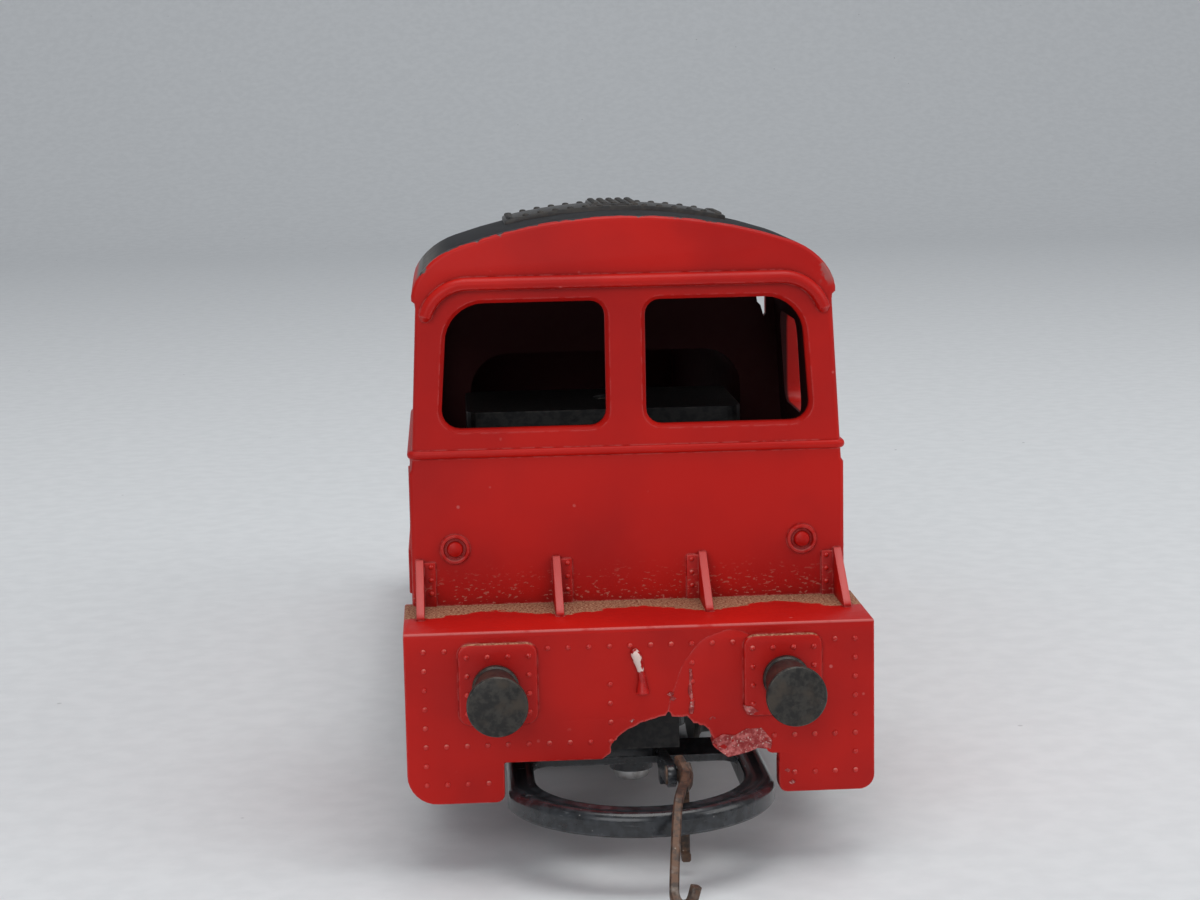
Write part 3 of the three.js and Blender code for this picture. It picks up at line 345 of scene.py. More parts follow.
class Surface:
    """A node material under construction. Coordinates are the object's own, in millimetres."""

    def __init__(self, name):
        self.material = bpy.data.materials.new(name)
        self.material.use_nodes = True
        self.tree = self.material.node_tree
        self.shader = self.tree.nodes["Principled BSDF"]
        coordinates = self.tree.nodes.new("ShaderNodeTexCoord")
        scaled = self.tree.nodes.new("ShaderNodeVectorMath")
        scaled.operation = "SCALE"
        scaled.inputs["Scale"].default_value = 1 / MM
        self.link(coordinates.outputs["Object"], scaled.inputs[0])
        self.place = scaled.outputs[0]
        self.normal = coordinates.outputs["Normal"]

    def link(self, a, b):
        self.tree.links.new(a, b)

    def feed(self, socket, value):
        if isinstance(value, bpy.types.NodeSocket):
            self.link(value, socket)
        else:
            socket.default_value = value

    def noise(self, scale, detail=4, rough=0.5, distortion=0.0):
        node = self.tree.nodes.new("ShaderNodeTexNoise")
        node.inputs["Scale"].default_value = scale
        node.inputs["Detail"].default_value = detail
        node.inputs["Roughness"].default_value = rough
        node.inputs["Distortion"].default_value = distortion
        self.link(self.place, node.inputs["Vector"])
        return node.outputs["Fac"]

    def stretched_noise(self, scale, stretch, detail=3):
        node = self.tree.nodes.new("ShaderNodeVectorMath")
        node.operation = "MULTIPLY"
        node.inputs[1].default_value = stretch
        self.link(self.place, node.inputs[0])
        texture = self.tree.nodes.new("ShaderNodeTexNoise")
        texture.inputs["Scale"].default_value = scale
        texture.inputs["Detail"].default_value = detail
        self.link(node.outputs[0], texture.inputs["Vector"])
        return texture.outputs["Fac"]

    def speckles(self, scale, size):
        """Small spots, 1 inside and 0 outside."""
        node = self.tree.nodes.new("ShaderNodeTexVoronoi")
        node.inputs["Scale"].default_value = scale
        self.link(self.place, node.inputs["Vector"])
        return self.ramp(node.outputs["Distance"], size, size * 0.5)

    def ramp(self, value, low, high):
        """0 at low and 1 at high, smooth between; low may be above high."""
        node = self.tree.nodes.new("ShaderNodeMapRange")
        node.interpolation_type = "SMOOTHSTEP"
        node.inputs["From Min"].default_value = min(low, high)
        node.inputs["From Max"].default_value = max(low, high)
        node.inputs["To Min"].default_value = 0.0 if low < high else 1.0
        node.inputs["To Max"].default_value = 1.0 if low < high else 0.0
        self.feed(node.inputs["Value"], value)
        return node.outputs["Result"]

    def math(self, operation, a, b=0.0):
        node = self.tree.nodes.new("ShaderNodeMath")
        node.operation = operation
        self.feed(node.inputs[0], a)
        self.feed(node.inputs[1], b)
        return node.outputs[0]

    def times(self, *values):
        product = values[0]
        for value in values[1:]:
            product = self.math("MULTIPLY", product, value)
        return product

    def linear(self, value, gain, base):
        """base + gain * value."""
        return self.math("ADD", self.times(value, gain), base)

    def near(self, centre, radius):
        """1 at a point, fading to 0 at a radius from it."""
        node = self.tree.nodes.new("ShaderNodeVectorMath")
        node.operation = "DISTANCE"
        node.inputs[1].default_value = centre
        self.link(self.place, node.inputs[0])
        return self.ramp(node.outputs["Value"], radius, radius * 0.4)

    def axis(self, vector, name):
        node = self.tree.nodes.new("ShaderNodeSeparateXYZ")
        self.link(vector, node.inputs[0])
        return node.outputs[name]

    def mix(self, share, a, b):
        """Colour a where share is 0, colour b where it is 1."""
        node = self.tree.nodes.new("ShaderNodeMix")
        node.data_type = "RGBA"
        self.feed(node.inputs[0], share)
        self.feed(node.inputs[6], a if isinstance(a, bpy.types.NodeSocket) else (*a, 1))
        self.feed(node.inputs[7], b if isinstance(b, bpy.types.NodeSocket) else (*b, 1))
        return node.outputs[2]

    def edges(self, radius):
        """1 on outer edges and corners tighter than the radius, in millimetres."""
        rounded = self.tree.nodes.new("ShaderNodeBevel")
        rounded.samples = 4
        rounded.inputs["Radius"].default_value = radius * MM
        geometry = self.tree.nodes.new("ShaderNodeNewGeometry")
        dot = self.tree.nodes.new("ShaderNodeVectorMath")
        dot.operation = "DOT_PRODUCT"
        self.link(rounded.outputs[0], dot.inputs[0])
        self.link(geometry.outputs["Normal"], dot.inputs[1])
        return self.ramp(dot.outputs["Value"], 0.97, 0.8)

    def corners(self, distance):
        """1 deep in inner corners."""
        node = self.tree.nodes.new("ShaderNodeAmbientOcclusion")
        node.samples = 6
        node.inputs["Distance"].default_value = distance * MM
        return self.ramp(node.outputs["AO"], 0.85, 0.35)

    def bump(self, height, strength, distance=0.05):
        node = self.tree.nodes.new("ShaderNodeBump")
        node.inputs["Strength"].default_value = strength
        node.inputs["Distance"].default_value = distance * MM
        self.link(height, node.inputs["Height"])
        self.link(node.outputs[0], self.shader.inputs["Normal"])

    def gloss(self, level):
        self.shader.inputs["Specular IOR Level"].default_value = level

    def done(self, colour, roughness, metallic=0.0):
        self.feed(self.shader.inputs["Base Color"], colour)
        self.feed(self.shader.inputs["Roughness"], roughness)
        self.feed(self.shader.inputs["Metallic"], metallic)
        return self.material


RED = (0.52, 0.008, 0.004)
DEEP_RED = (0.42, 0.006, 0.004)
# Worn red paint, also used as painted highlight on lit edges and faces.
WORN_AND_HIGHLIGHT_RED = (0.62, 0.15, 0.14)
# Pale worn plastic, also the painted highlight on the drawhook's top.
PALE_WEAR_AND_HIGHLIGHT = (0.80, 0.62, 0.56)
DUST = (0.30, 0.145, 0.075)
# Painted shade for the insides of the cab and bonnet.
SHADE_INSIDE = (0.030, 0.001, 0.0015)
BLACK = (0.010, 0.010, 0.012)


def red_shell():
    """Satin moulding: worn edges and painted highlights, dust on the rear platform, painted shade in its
    corners and inside the cab and bonnet, and a black painted roof with a painted sheen on its shoulders.
    """
    s = Surface("red_shell")
    fine = s.noise(1.4, 5)
    grain = s.noise(7.0, 3)
    x, y, z = (s.axis(s.place, name) for name in "XYZ")
    up = s.axis(s.normal, "Z")
    across = s.math("ABSOLUTE", x)
    colour = s.mix(s.ramp(s.noise(0.09, 3), 0.35, 0.65), RED, DEEP_RED)
    # Painted shade: the red darkens deep in inner corners.
    colour = s.mix(s.times(s.corners(1.6), 0.6), colour, (0.12, 0.004, 0.004))
    # Edge wear along the moulding's edges; the same pale red also stands in as painted highlight lines on the
    # lit edges.
    worn = s.times(s.edges(0.22), s.ramp(fine, 0.40, 0.56))
    torn = s.times(s.edges(0.35), s.near((2.5, -56.0, 10.0), 7.0), s.ramp(grain, 0.38, 0.5))
    colour = s.mix(s.times(s.math("MAXIMUM", worn, torn), 0.75), colour, WORN_AND_HIGHLIGHT_RED)
    nicks = s.times(s.speckles(0.55, 0.10), s.ramp(s.noise(0.5, 2), 0.54, 0.62))
    colour = s.mix(s.times(nicks, 0.6), colour, WORN_AND_HIGHLIGHT_RED)
    # Painted highlight: the brackets' sloping faces turned to the light are lightened.
    bracket = s.times(s.ramp(z, 19.6, 20.0), s.ramp(z, 23.6, 23.4), s.ramp(up, 0.45, 0.7),
                      s.ramp(y, -46.1, -46.3))
    colour = s.mix(s.times(bracket, 0.55), colour, WORN_AND_HIGHLIGHT_RED)

    flat = s.ramp(up, 0.6, 0.9)
    bays = s.math("COSINE", s.times(s.math("SUBTRACT", x, BAY_START), math.tau / BAY))
    edge = s.math("ADD", s.math("ADD", y, bays), s.times(s.noise(0.7, 4), 2.4))
    deck = s.times(s.ramp(z, 19.0, 19.3), s.ramp(z, 20.2, 19.7), flat, s.ramp(y, -45.0, -45.5))
    dusty = s.times(deck, s.ramp(edge, -48.6, -48.2))
    speck = s.mix(s.ramp(s.noise(5.0, 5, 0.75), 0.42, 0.60), (0.15, 0.050, 0.022), (0.50, 0.31, 0.19))
    pad_tops = s.times(s.ramp(y, -56.0, -56.1), s.ramp(z, 18.2, 18.45), s.ramp(up, 0.3, 0.7), 0.8)
    dusty = s.math("MAXIMUM", s.times(dusty, 0.92), pad_tops)
    colour = s.mix(dusty, colour, speck)
    low_wall = s.times(s.ramp(z, 23.2, 19.4), s.ramp(z, 19.2, 19.4), s.ramp(y, -46.6, -46.2))
    fibres = s.times(low_wall, s.ramp(s.stretched_noise(2.6, (1.0, 1.0, 2.2), 5), 0.60, 0.66))
    colour = s.mix(s.times(fibres, 0.65), colour, (0.50, 0.20, 0.15))

    # Painted shade: the insides of the cab and bonnet are coloured near black, standing for the shade inside
    # them.
    cab = s.times(s.ramp(across, 16.35, 16.1), s.ramp(y, -45.3, -44.95), s.ramp(y, -20.6, -21.0))
    outward = s.math("ADD", s.times(x, s.axis(s.normal, "X")), s.times(s.math("SUBTRACT", z, 28.0), up))
    faces_cab = s.ramp(s.axis(s.normal, "Y"), -0.5, -0.9)
    end_wall = s.times(faces_cab, s.ramp(z, 19.0, 20.0), s.ramp(across, 12.6, 12.2))
    bonnet = s.times(s.ramp(across, 13.0, 12.6), s.ramp(z, 38.0, 37.5), s.ramp(y, -21.5, -21.0),
                     s.ramp(y, 45.2, 44.9), s.math("MAXIMUM", s.ramp(outward, -0.5, -1.5), end_wall))
    cavity_shade = s.math("MAXIMUM", cab, bonnet)
    colour = s.mix(cavity_shade, colour, SHADE_INSIDE)
    # Painted highlight: a thin pale line along the rear beam's top edge.
    lip = s.times(s.ramp(y, -55.8, -55.9), s.ramp(z, 19.18, 19.3), s.ramp(s.noise(0.5, 3), 0.30, 0.42))
    colour = s.mix(s.times(lip, 0.8), colour, WORN_AND_HIGHLIGHT_RED)

    ragged = s.math("ADD", y, s.times(s.noise(0.8, 5, 0.6), 1.4))
    chips = s.math("ADD", s.near((-6.1, -45.8, 50.6), 0.9), s.near((5.7, -45.8, 50.6), 0.8))
    right_side = s.ramp(x, 7.5, 11.0)
    bare = s.math("ADD", s.times(chips, 1.6), s.times(right_side, 2.2))
    ragged = s.math("SUBTRACT", ragged, bare)
    roof = s.times(s.ramp(up, 0.12, 0.3), s.ramp(z, 45.9, 46.5), s.ramp(ragged, -45.1, -45.0),
                   s.ramp(y, -20.2, -20.4))
    paint = s.mix(s.ramp(fine, 0.4, 0.6), BLACK, (0.022, 0.023, 0.026))
    # Painted reflection: a grey sheen on the roof's sloping shoulders, where the black paint catches the
    # light.
    paint = s.mix(s.times(s.ramp(up, 0.93, 0.7), s.ramp(fine, 0.3, 0.5)), paint, (0.12, 0.115, 0.11))
    colour = s.mix(roof, colour, paint)
    rub = s.times(s.near((16.6, -46.0, 46.2), 1.5), s.ramp(fine, 0.42, 0.55), 0.5)
    colour = s.mix(rub, colour, (0.25, 0.17, 0.16))

    rough = s.linear(fine, 0.22, 0.30)
    rough = s.math("ADD", rough, s.times(dusty, 0.45))
    rough = s.math("ADD", rough, s.times(cavity_shade, 0.3))
    s.bump(s.math("ADD", s.times(grain, 0.5), s.times(dusty, s.noise(9.0, 3), 1.5)), 0.22)
    s.gloss(0.22)
    return s.done(colour, rough)


def roof_black():
    s = Surface("roof_black")
    fine = s.noise(1.6, 5)
    colour = s.mix(s.ramp(fine, 0.4, 0.6), (0.012, 0.012, 0.013), (0.032, 0.028, 0.024))
    worn = s.times(s.edges(0.18), s.ramp(s.noise(1.1, 3), 0.45, 0.6), 0.6)
    colour = s.mix(worn, colour, (0.11, 0.085, 0.07))
    colour = s.mix(s.times(s.corners(0.8), 0.5), colour, (0.06, 0.035, 0.025))
    s.bump(s.noise(5.0, 4), 0.35)
    return s.done(colour, s.linear(fine, 0.3, 0.28))


def broken_red():
    """Torn and glued plastic: rough, paler where it was stretched, glossy where glue ran."""
    s = Surface("broken_red")
    fine = s.noise(1.8, 6, 0.6)
    grain = s.noise(6.0, 3)
    colour = s.mix(s.ramp(fine, 0.42, 0.66), (0.30, 0.010, 0.010), WORN_AND_HIGHLIGHT_RED)
    colour = s.mix(s.times(s.ramp(grain, 0.58, 0.70), 0.6), colour, PALE_WEAR_AND_HIGHLIGHT)
    s.bump(fine, 0.8, 0.15)
    return s.done(colour, s.linear(grain, 0.35, 0.25))


def chipped_red():
    """The moulded drawhook: its upper part worn almost white, the same pale colour standing in as a painted
    highlight on top.
    """
    s = Surface("chipped_red")
    fine = s.noise(1.5, 5, 0.6)
    z = s.axis(s.place, "Z")
    # Worn paint on the upper part, which also serves as a painted highlight there.
    rubbed_and_highlight = s.times(s.ramp(z, 15.5, 15.9), s.ramp(s.noise(1.1, 4), 0.48, 0.52))
    colour = s.mix(s.ramp(s.noise(0.8, 3), 0.4, 0.6), (0.50, 0.012, 0.010), (0.36, 0.006, 0.006))
    colour = s.mix(s.times(rubbed_and_highlight, 0.95), colour, PALE_WEAR_AND_HIGHLIGHT)
    s.bump(fine, 0.4, 0.1)
    return s.done(colour, s.linear(fine, 0.2, 0.15))


def rivet_red():
    s = Surface("rivet_red")
    fine = s.noise(0.8, 4)
    colour = s.mix(s.ramp(fine, 0.45, 0.6), RED, (0.58, 0.022, 0.015))
    # Painted highlight on the upward-facing tops of the rivets.
    tip_highlight = s.times(s.ramp(s.axis(s.normal, "Z"), 0.15, 0.7), s.ramp(s.noise(0.45, 3), 0.50, 0.58))
    colour = s.mix(s.times(tip_highlight, 0.55), colour, (0.78, 0.34, 0.28))
    s.bump(s.noise(9.0, 2), 0.2)
    return s.done(colour, s.linear(fine, 0.15, 0.22))


def black_moulding():
    s = Surface("black_moulding")
    fine = s.noise(1.2, 5)
    scuffs = s.ramp(s.stretched_noise(1.4, (0.35, 1.2, 4.0), 6), 0.62, 0.72)
    colour = s.mix(s.ramp(fine, 0.35, 0.65), (0.012, 0.013, 0.015), (0.028, 0.031, 0.036))
    colour = s.mix(s.times(scuffs, 0.4), colour, (0.15, 0.16, 0.17))
    colour = s.mix(s.times(s.edges(0.2), s.ramp(fine, 0.4, 0.6), 0.6), colour, (0.22, 0.23, 0.25))
    specks = s.times(s.speckles(1.1, 0.09), s.ramp(s.noise(0.7, 2), 0.5, 0.6))
    colour = s.mix(s.times(specks, 0.6), colour, (0.40, 0.37, 0.35))
    s.bump(s.math("ADD", s.noise(4.0, 4), s.times(scuffs, 0.5)), 0.12)
    return s.done(colour, s.linear(fine, 0.22, 0.12))


def black_casting():
    s = Surface("black_casting")
    fine = s.noise(1.6, 6)
    colour = s.mix(s.ramp(fine, 0.4, 0.6), (0.008, 0.008, 0.009), (0.022, 0.021, 0.020))
    colour = s.mix(s.times(s.edges(0.3), s.ramp(s.noise(0.8, 3), 0.45, 0.6), 0.5), colour, (0.10, 0.09, 0.08))
    s.bump(s.noise(5.0, 5, 0.6), 0.5)
    return s.done(colour, s.linear(fine, 0.35, 0.32), 0.2)


def dark_steel():
    s = Surface("dark_steel")
    fine = s.noise(1.8, 6, 0.6)
    colour = s.mix(s.ramp(fine, 0.38, 0.62), (0.014, 0.013, 0.012), (0.040, 0.036, 0.031))
    colour = s.mix(s.ramp(s.noise(0.5, 3), 0.50, 0.68), colour, (0.052, 0.040, 0.030))
    colour = s.mix(s.times(s.edges(0.25), s.ramp(fine, 0.40, 0.55), 0.7), colour, (0.20, 0.18, 0.155))
    specks = s.times(s.speckles(2.0, 0.08), s.ramp(s.noise(0.6, 2), 0.5, 0.6), 0.4)
    colour = s.mix(specks, colour, (0.25, 0.23, 0.20))
    s.bump(fine, 0.35)
    return s.done(colour, s.linear(fine, 0.25, 0.36), 0.35)


def rusty_steel():
    s = Surface("rusty_steel")
    fine = s.noise(1.5, 6, 0.65)
    colour = s.mix(s.ramp(fine, 0.4, 0.6), (0.045, 0.033, 0.027), (0.125, 0.070, 0.045))
    colour = s.mix(s.ramp(s.noise(0.8, 4), 0.55, 0.68), colour, (0.17, 0.14, 0.12))
    colour = s.mix(s.times(s.speckles(1.4, 0.12), 0.6), colour, (0.40, 0.34, 0.28))
    s.bump(fine, 0.6, 0.08)
    return s.done(colour, s.linear(fine, 0.35, 0.34), 0.45)


def metal(name, light, dark, rough, tarnish=0.5):
    """A bright metal with tarnished patches, fine turning marks and polished edges."""
    s = Surface(name)
    fine = s.noise(1.3, 5)
    colour = s.mix(s.times(s.ramp(fine, 0.42, 0.66), tarnish), light, dark)
    colour = s.mix(s.times(s.edges(0.2), 0.4), colour, light)
    s.bump(s.stretched_noise(3.0, (1.0, 6.0, 1.0)), 0.15)
    return s.done(colour, s.linear(fine, 0.25, rough), 0.9)


def soft_finish(name, light, dark, rough):
    """Matt moulded or insulated surfaces: blotches, dusty corners and a fine grain."""
    s = Surface(name)
    fine = s.noise(1.7, 5)
    colour = s.mix(s.ramp(fine, 0.35, 0.65), light, dark)
    colour = s.mix(s.times(s.corners(1.0), 0.4), colour, DUST)
    s.bump(s.noise(6.0, 3), 0.25)
    return s.done(colour, s.linear(fine, 0.2, rough))


def floor_paper():
    s = Surface("floor_paper")
    fine = s.noise(0.35, 6)
    colour = s.mix(s.ramp(fine, 0.3, 0.7), (0.70, 0.72, 0.74), (0.74, 0.76, 0.78))
    specks = s.times(s.speckles(0.11, 0.035), s.ramp(s.noise(0.02, 2), 0.5, 0.6))
    colour = s.mix(s.times(specks, 0.7), colour, (0.10, 0.11, 0.13))
    s.bump(s.noise(1.2, 4), 0.1)
    return s.done(colour, 0.7)


RED_SHELL = red_shell()
ROOF_BLACK = roof_black()
BROKEN_RED = broken_red()
CHIPPED_RED = chipped_red()
RIVET_RED = rivet_red()
BLACK_MOULDING = black_moulding()
BLACK_CASTING = black_casting()
DARK_STEEL = dark_steel()
RUSTY_STEEL = rusty_steel()
BRIGHT_STEEL = metal("bright_steel", (0.55, 0.55, 0.54), (0.20, 0.18, 0.16), 0.22)
BRASS = metal("brass", (0.60, 0.42, 0.15), (0.25, 0.16, 0.06), 0.25)
COPPER = metal("copper", (0.50, 0.20, 0.09), (0.20, 0.07, 0.03), 0.35)
CARBON = soft_finish("carbon", (0.03, 0.03, 0.03), (0.015, 0.015, 0.016), 0.6)
CERAMIC = soft_finish("ceramic", (0.45, 0.18, 0.05), (0.30, 0.11, 0.03), 0.4)
BLACK_INSULATION = soft_finish("black_insulation", (0.02, 0.02, 0.02), (0.04, 0.04, 0.04), 0.4)
RED_INSULATION = soft_finish("red_insulation", (0.35, 0.02, 0.02), (0.22, 0.01, 0.01), 0.4)


# ---------------------------------------------------------------- camera, floor and light

CAMERA_AT = Vector((-14.44, -238.95, 61.65))
CAMERA_YAW = math.radians(3.62)
CAMERA_PITCH = math.radians(-8.74)
CAMERA_ROLL = math.radians(-1.10)
CAMERA_LENS = 72.07


def make_camera():
    data = bpy.data.cameras.new("camera")
    data.lens = CAMERA_LENS
    data.sensor_width = 36.0
    data.clip_start = 0.01
    data.clip_end = 10.0
    camera = bpy.data.objects.new("camera", data)
    ahead = Vector((math.sin(CAMERA_YAW) * math.cos(CAMERA_PITCH),
                    math.cos(CAMERA_YAW) * math.cos(CAMERA_PITCH), math.sin(CAMERA_PITCH)))
    level = Vector((math.cos(CAMERA_YAW), -math.sin(CAMERA_YAW), 0))
    up = level.cross(ahead)
    right = level * math.cos(CAMERA_ROLL) + up * math.sin(CAMERA_ROLL)
    top = up * math.cos(CAMERA_ROLL) - level * math.sin(CAMERA_ROLL)
    turn = Matrix((right, top, -ahead)).transposed().to_4x4()
    camera.matrix_world = Matrix.Translation(CAMERA_AT * MM) @ turn
    bpy.context.scene.collection.objects.link(camera)
    bpy.context.scene.camera = camera


def make_floor():
    """A paper sweep: flat under the model, curving up far behind it."""
    half, near, far, radius, high = 1500, -1600, 1000, 350, 1400
    curve = arc(far - radius, radius, radius, 270, 360, 16)
    profile = [(near, 0), (0, 0), *curve, (far, high)]
    bm = bmesh.new()
    rows = [[bm.verts.new((x, y, z)) for y, z in profile] for x in (-half, half)]
    for i in range(len(profile) - 1):
        bm.faces.new((rows[0][i], rows[1][i], rows[1][i + 1], rows[0][i + 1]))
    mesh = bpy.data.meshes.new("floor")
    bm.to_mesh(mesh)
    bm.free()
    mesh.transform(Matrix.Scale(MM, 4))
    mesh.shade_smooth()
    mesh.materials.append(floor_paper())
    floor = bpy.data.objects.new("floor", mesh)
    bpy.context.scene.collection.objects.link(floor)


def area_light(name, at, aim, size, power, colour=(1, 1, 1)):
    data = bpy.data.lights.new(name, "AREA")
    data.shape = "RECTANGLE"
    data.size, data.size_y = size
    data.energy = power
    data.color = colour
    light = bpy.data.objects.new(name, data)
    light.location = at
    light.rotation_euler = (Vector(aim) - Vector(at)).to_track_quat("-Z", "Y").to_euler()
    bpy.context.scene.collection.objects.link(light)


def make_light():
    bpy.context.scene.view_settings.view_transform = "Standard"
    area_light("top_softbox", (0.05, -0.08, 0.70), (0, 0, 0), (0.55, 0.45), 2.7, (1.0, 0.99, 0.97))
    area_light("front_softbox", (-0.30, -0.80, 0.40), (0, 0, 0.03), (0.6, 0.4), 2.0, (0.97, 0.98, 1.0))
    area_light("side_softbox", (0.60, -0.25, 0.35), (0, 0, 0.03), (0.4, 0.4), 1.0, (1.0, 0.99, 0.97))
    world = bpy.data.worlds.new("studio")
    world.use_nodes = True
    world.node_tree.nodes["Background"].inputs["Color"].default_value = (0.80, 0.83, 0.87, 1)
    world.node_tree.nodes["Background"].inputs["Strength"].default_value = 0.38
    bpy.context.scene.world = world


make_camera()
make_floor()
make_light()


# ---------------------------------------------------------------- body shell


def crown_z(x):
    return ROOF_Z - CROWN_R + math.sqrt(CROWN_R ** 2 - x ** 2)


def bezier(p0, p1, p2, p3, steps=8):
    points = []
    for i in range(steps + 1):
        t = i / steps
        u = 1 - t
        points.append(tuple(a * u ** 3 + 3 * b * t * u * u + 3 * c * t * t * u + d * t ** 3
                            for a, b, c, d in zip(p0, p1, p2, p3)))
    return points


def cab_outline(inset=0.0, low=SKIRT_Z):
    """The cab's section: skirt, a slight step at the waist, eave, rounded shoulders and a shallow crown."""
    cant, lip, turn = CANT_HALF - inset, EAVE_HALF - inset, 13.4 - inset / 2
    side = [(CAB_HALF - inset, low), (CAB_HALF - inset, WAIST_Z - 1.5), (WAIST_HALF - inset, WAIST_Z - 1.2),
            (cant, EAVE_Z - 0.6)]
    if not inset:
        side += [(cant + 0.05, EAVE_Z - 0.2), (lip, EAVE_Z)]
    shoulder = bezier((lip, EAVE_Z + 0.4), (lip - 0.25, EAVE_Z + 2.2 - inset / 2),
                      (turn + 1.9, EAVE_Z + 3.7 - inset), (turn, crown_z(turn) - inset))
    crown = [(x, crown_z(x) - inset) for x in (11.2, 9.0, 6.8, 4.5, 2.3)]
    right = side + shoulder + crown
    return right + [(0, ROOF_Z - inset)] + mirrored(right)


def cab_solid(inset, low, start, end):
    """The cab's section along its length. Over its front part the roof curves down towards the bonnet."""
    rings = []
    for y in (start, DROOP_START, -29, -27, -25, -23, end):
        fall = DROOP * max(0, y - DROOP_START) ** 2 / (ROOF_Z - EAVE_Z)
        rings.append([(x, y, z - fall * max(0, z - EAVE_Z)) for x, z in cab_outline(inset, low)])
    return loft(rings)


def bonnet_outline(inset=0.0, low=DECK_Z):
    half, top, r = BONNET_HALF - inset, BONNET_TOP - inset, BONNET_CORNER - inset / 2
    return ([(-half, low), (half, low)] + arc(half - r, top - r, r, 0, 90, 8)
            + arc(r - half, top - r, r, 90, 180, 8))


def beam_outline():
    left, right = 2.4, 1.2
    inner = 0.7
    return (arc(left - BEAM_HALF, BEAM_LOW + left, left, 180, 270)
            + arc(-NOTCH_HALF - inner, BEAM_LOW + inner, inner, 270, 360, 4)
            + [(-NOTCH_HALF, NOTCH_Z), (NOTCH_HALF, NOTCH_Z)]
            + arc(NOTCH_HALF + inner, BEAM_LOW + inner, inner, 180, 270, 4)
            + arc(BEAM_HALF - right, BEAM_LOW + right, right, 270, 360)
            + [(BEAM_HALF, DECK_Z - 0.4), (-BEAM_HALF, DECK_Z - 0.4)])


# The hole broken out of the rear beam above its notch, from left to right, and the crack running up from it.
BREAK = [
    (-4.4, 8.0), (-3.2, 8.8), (-2.5, 9.3), (-2.4, 10.0), (-1.9, 10.6), (-1.1, 11.2), (-0.1, 11.7),
    (1.1, 12.0), (1.9, 12.2), (2.1, 12.5), (2.4, 12.1), (3.6, 12.1), (4.1, 11.5), (4.9, 11.3),
    (5.4, 10.8), (5.7, 10.1), (5.6, 9.7), (6.2, 9.2), (6.8, 8.8), (7.9, 8.9), (9.1, 9.3),
    (9.4, 9.6), (10.0, 9.0), (10.9, 8.4), (10.9, 8.0),
]
CRACK = [
    (2.1, 12.3), (2.3, 13.4), (2.7, 14.5), (3.3, 16.2), (4.1, 17.3), (4.9, 18.2), (6.4, 18.8),
    (7.5, 18.9), (8.6, 18.5),
]
FRAGMENT = [
    (5.5, 10.0), (6.4, 10.5), (7.4, 10.4), (8.3, 10.9), (9.5, 10.9), (10.3, 9.9), (10.2, 9.1),
    (9.2, 9.3), (8.0, 8.9), (6.8, 8.7), (6.1, 9.2),
]
GLUE_RUN = [(3.9, 15.9), (3.95, 15.1), (3.85, 14.2), (4.0, 13.3), (3.9, 12.3)]


def window_ring(sign, y, grow):
    """A rear window's outline, grown all round: square inner corners, a wide curve at the outer top."""
    sill, head = DECK_Z + 14.5, DECK_Z + 24.7
    inner, outer_low, outer_high = 1.63, 15.0, 14.6
    small, wide = 1.3 + grow, 3.2 + grow
    points = (arc(inner + 1.3, sill + 1.3, small, 180, 270, 5)
              + arc(outer_low - 1.5, sill + 1.5, 1.5 + grow, 270, 360, 5)
              + arc(outer_high - 3.2, head - 3.2, wide, 0, 90, 8)
              + arc(inner + 1.2, head - 1.2, 1.2 + grow, 90, 180, 5))
    return [(sign * x, y, z) for x, z in points]


def flared_window(sign):
    """The cutter for a rear window, wider at the outer face to leave a chamfered edge."""
    stations = [(CAB_REAR - 1, 0.75), (CAB_REAR - 0.02, 0.34), (CAB_REAR + 0.3, 0.06), (CAB_REAR + 0.4, 0.0),
                (CAB_REAR + WALL + 1, 0.0)]
    return loft([window_ring(sign, y, grow) for y, grow in stations])


def gusset_set(wall, outward):
    """Four triangular brackets from the deck to a wall, each with a flange on the wall."""
    bms = []
    reach, top, thick, flange = 5.5, DECK_Z + 3.9, 0.65, 1.3
    tip, back = wall + outward * reach, wall - outward * 0.5
    for x in BRACKET_X:
        side = [(back, DECK_Z - 0.3), (tip, DECK_Z - 0.3), (tip, DECK_Z + 0.25),
                (wall + outward * 0.45, top), (back, top)]
        bms.append(bevelled(prism(side, "X", x - thick / 2, x + thick / 2), 0.1))
        inward = -1 if x > 0 else 1
        bms.append(bevelled(block(*ordered(x, x + inward * flange), *ordered(back, wall + outward * FLANGE_T),
                                  DECK_Z - 0.3, top - 0.25), 0.1))
    return bms


def lamp_boss(x, wall, outward):
    ring = [(0, -0.5), (1.22, -0.5), (1.22, 0.28), (1.14, 0.38), (0.98, 0.38), (0.9, 0.28),
            (0.86, 0.12), (0.7, 0.12), (0.66, 0.3), (0.55, 0.48), (0.3, 0.6), (0, 0.64)]
    return turned(outwards(ring, outward), "Y", (x, wall, LAMP_Z), 28)


def waist_bead():
    """A half-round moulding round the rear and both sides of the cab."""
    half, reach = 0.36, 0.32
    edge, corner = WAIST_HALF, 0.5
    bends = (arc(corner - edge, CAB_REAR + corner, corner, 180, 270, 5)
             + arc(edge - corner, CAB_REAR + corner, corner, 270, 360, 5))
    path = [(-edge, CAB_FRONT, WAIST_Z), *[(x, y, WAIST_Z) for x, y in bends], (edge, CAB_FRONT, WAIST_Z)]
    section = [(reach * math.cos(a) if math.cos(a) > 0 else 0.5 * math.cos(a), half * math.sin(a))
               for a in (math.tau * i / 14 for i in range(14))]
    return swept(path, section)


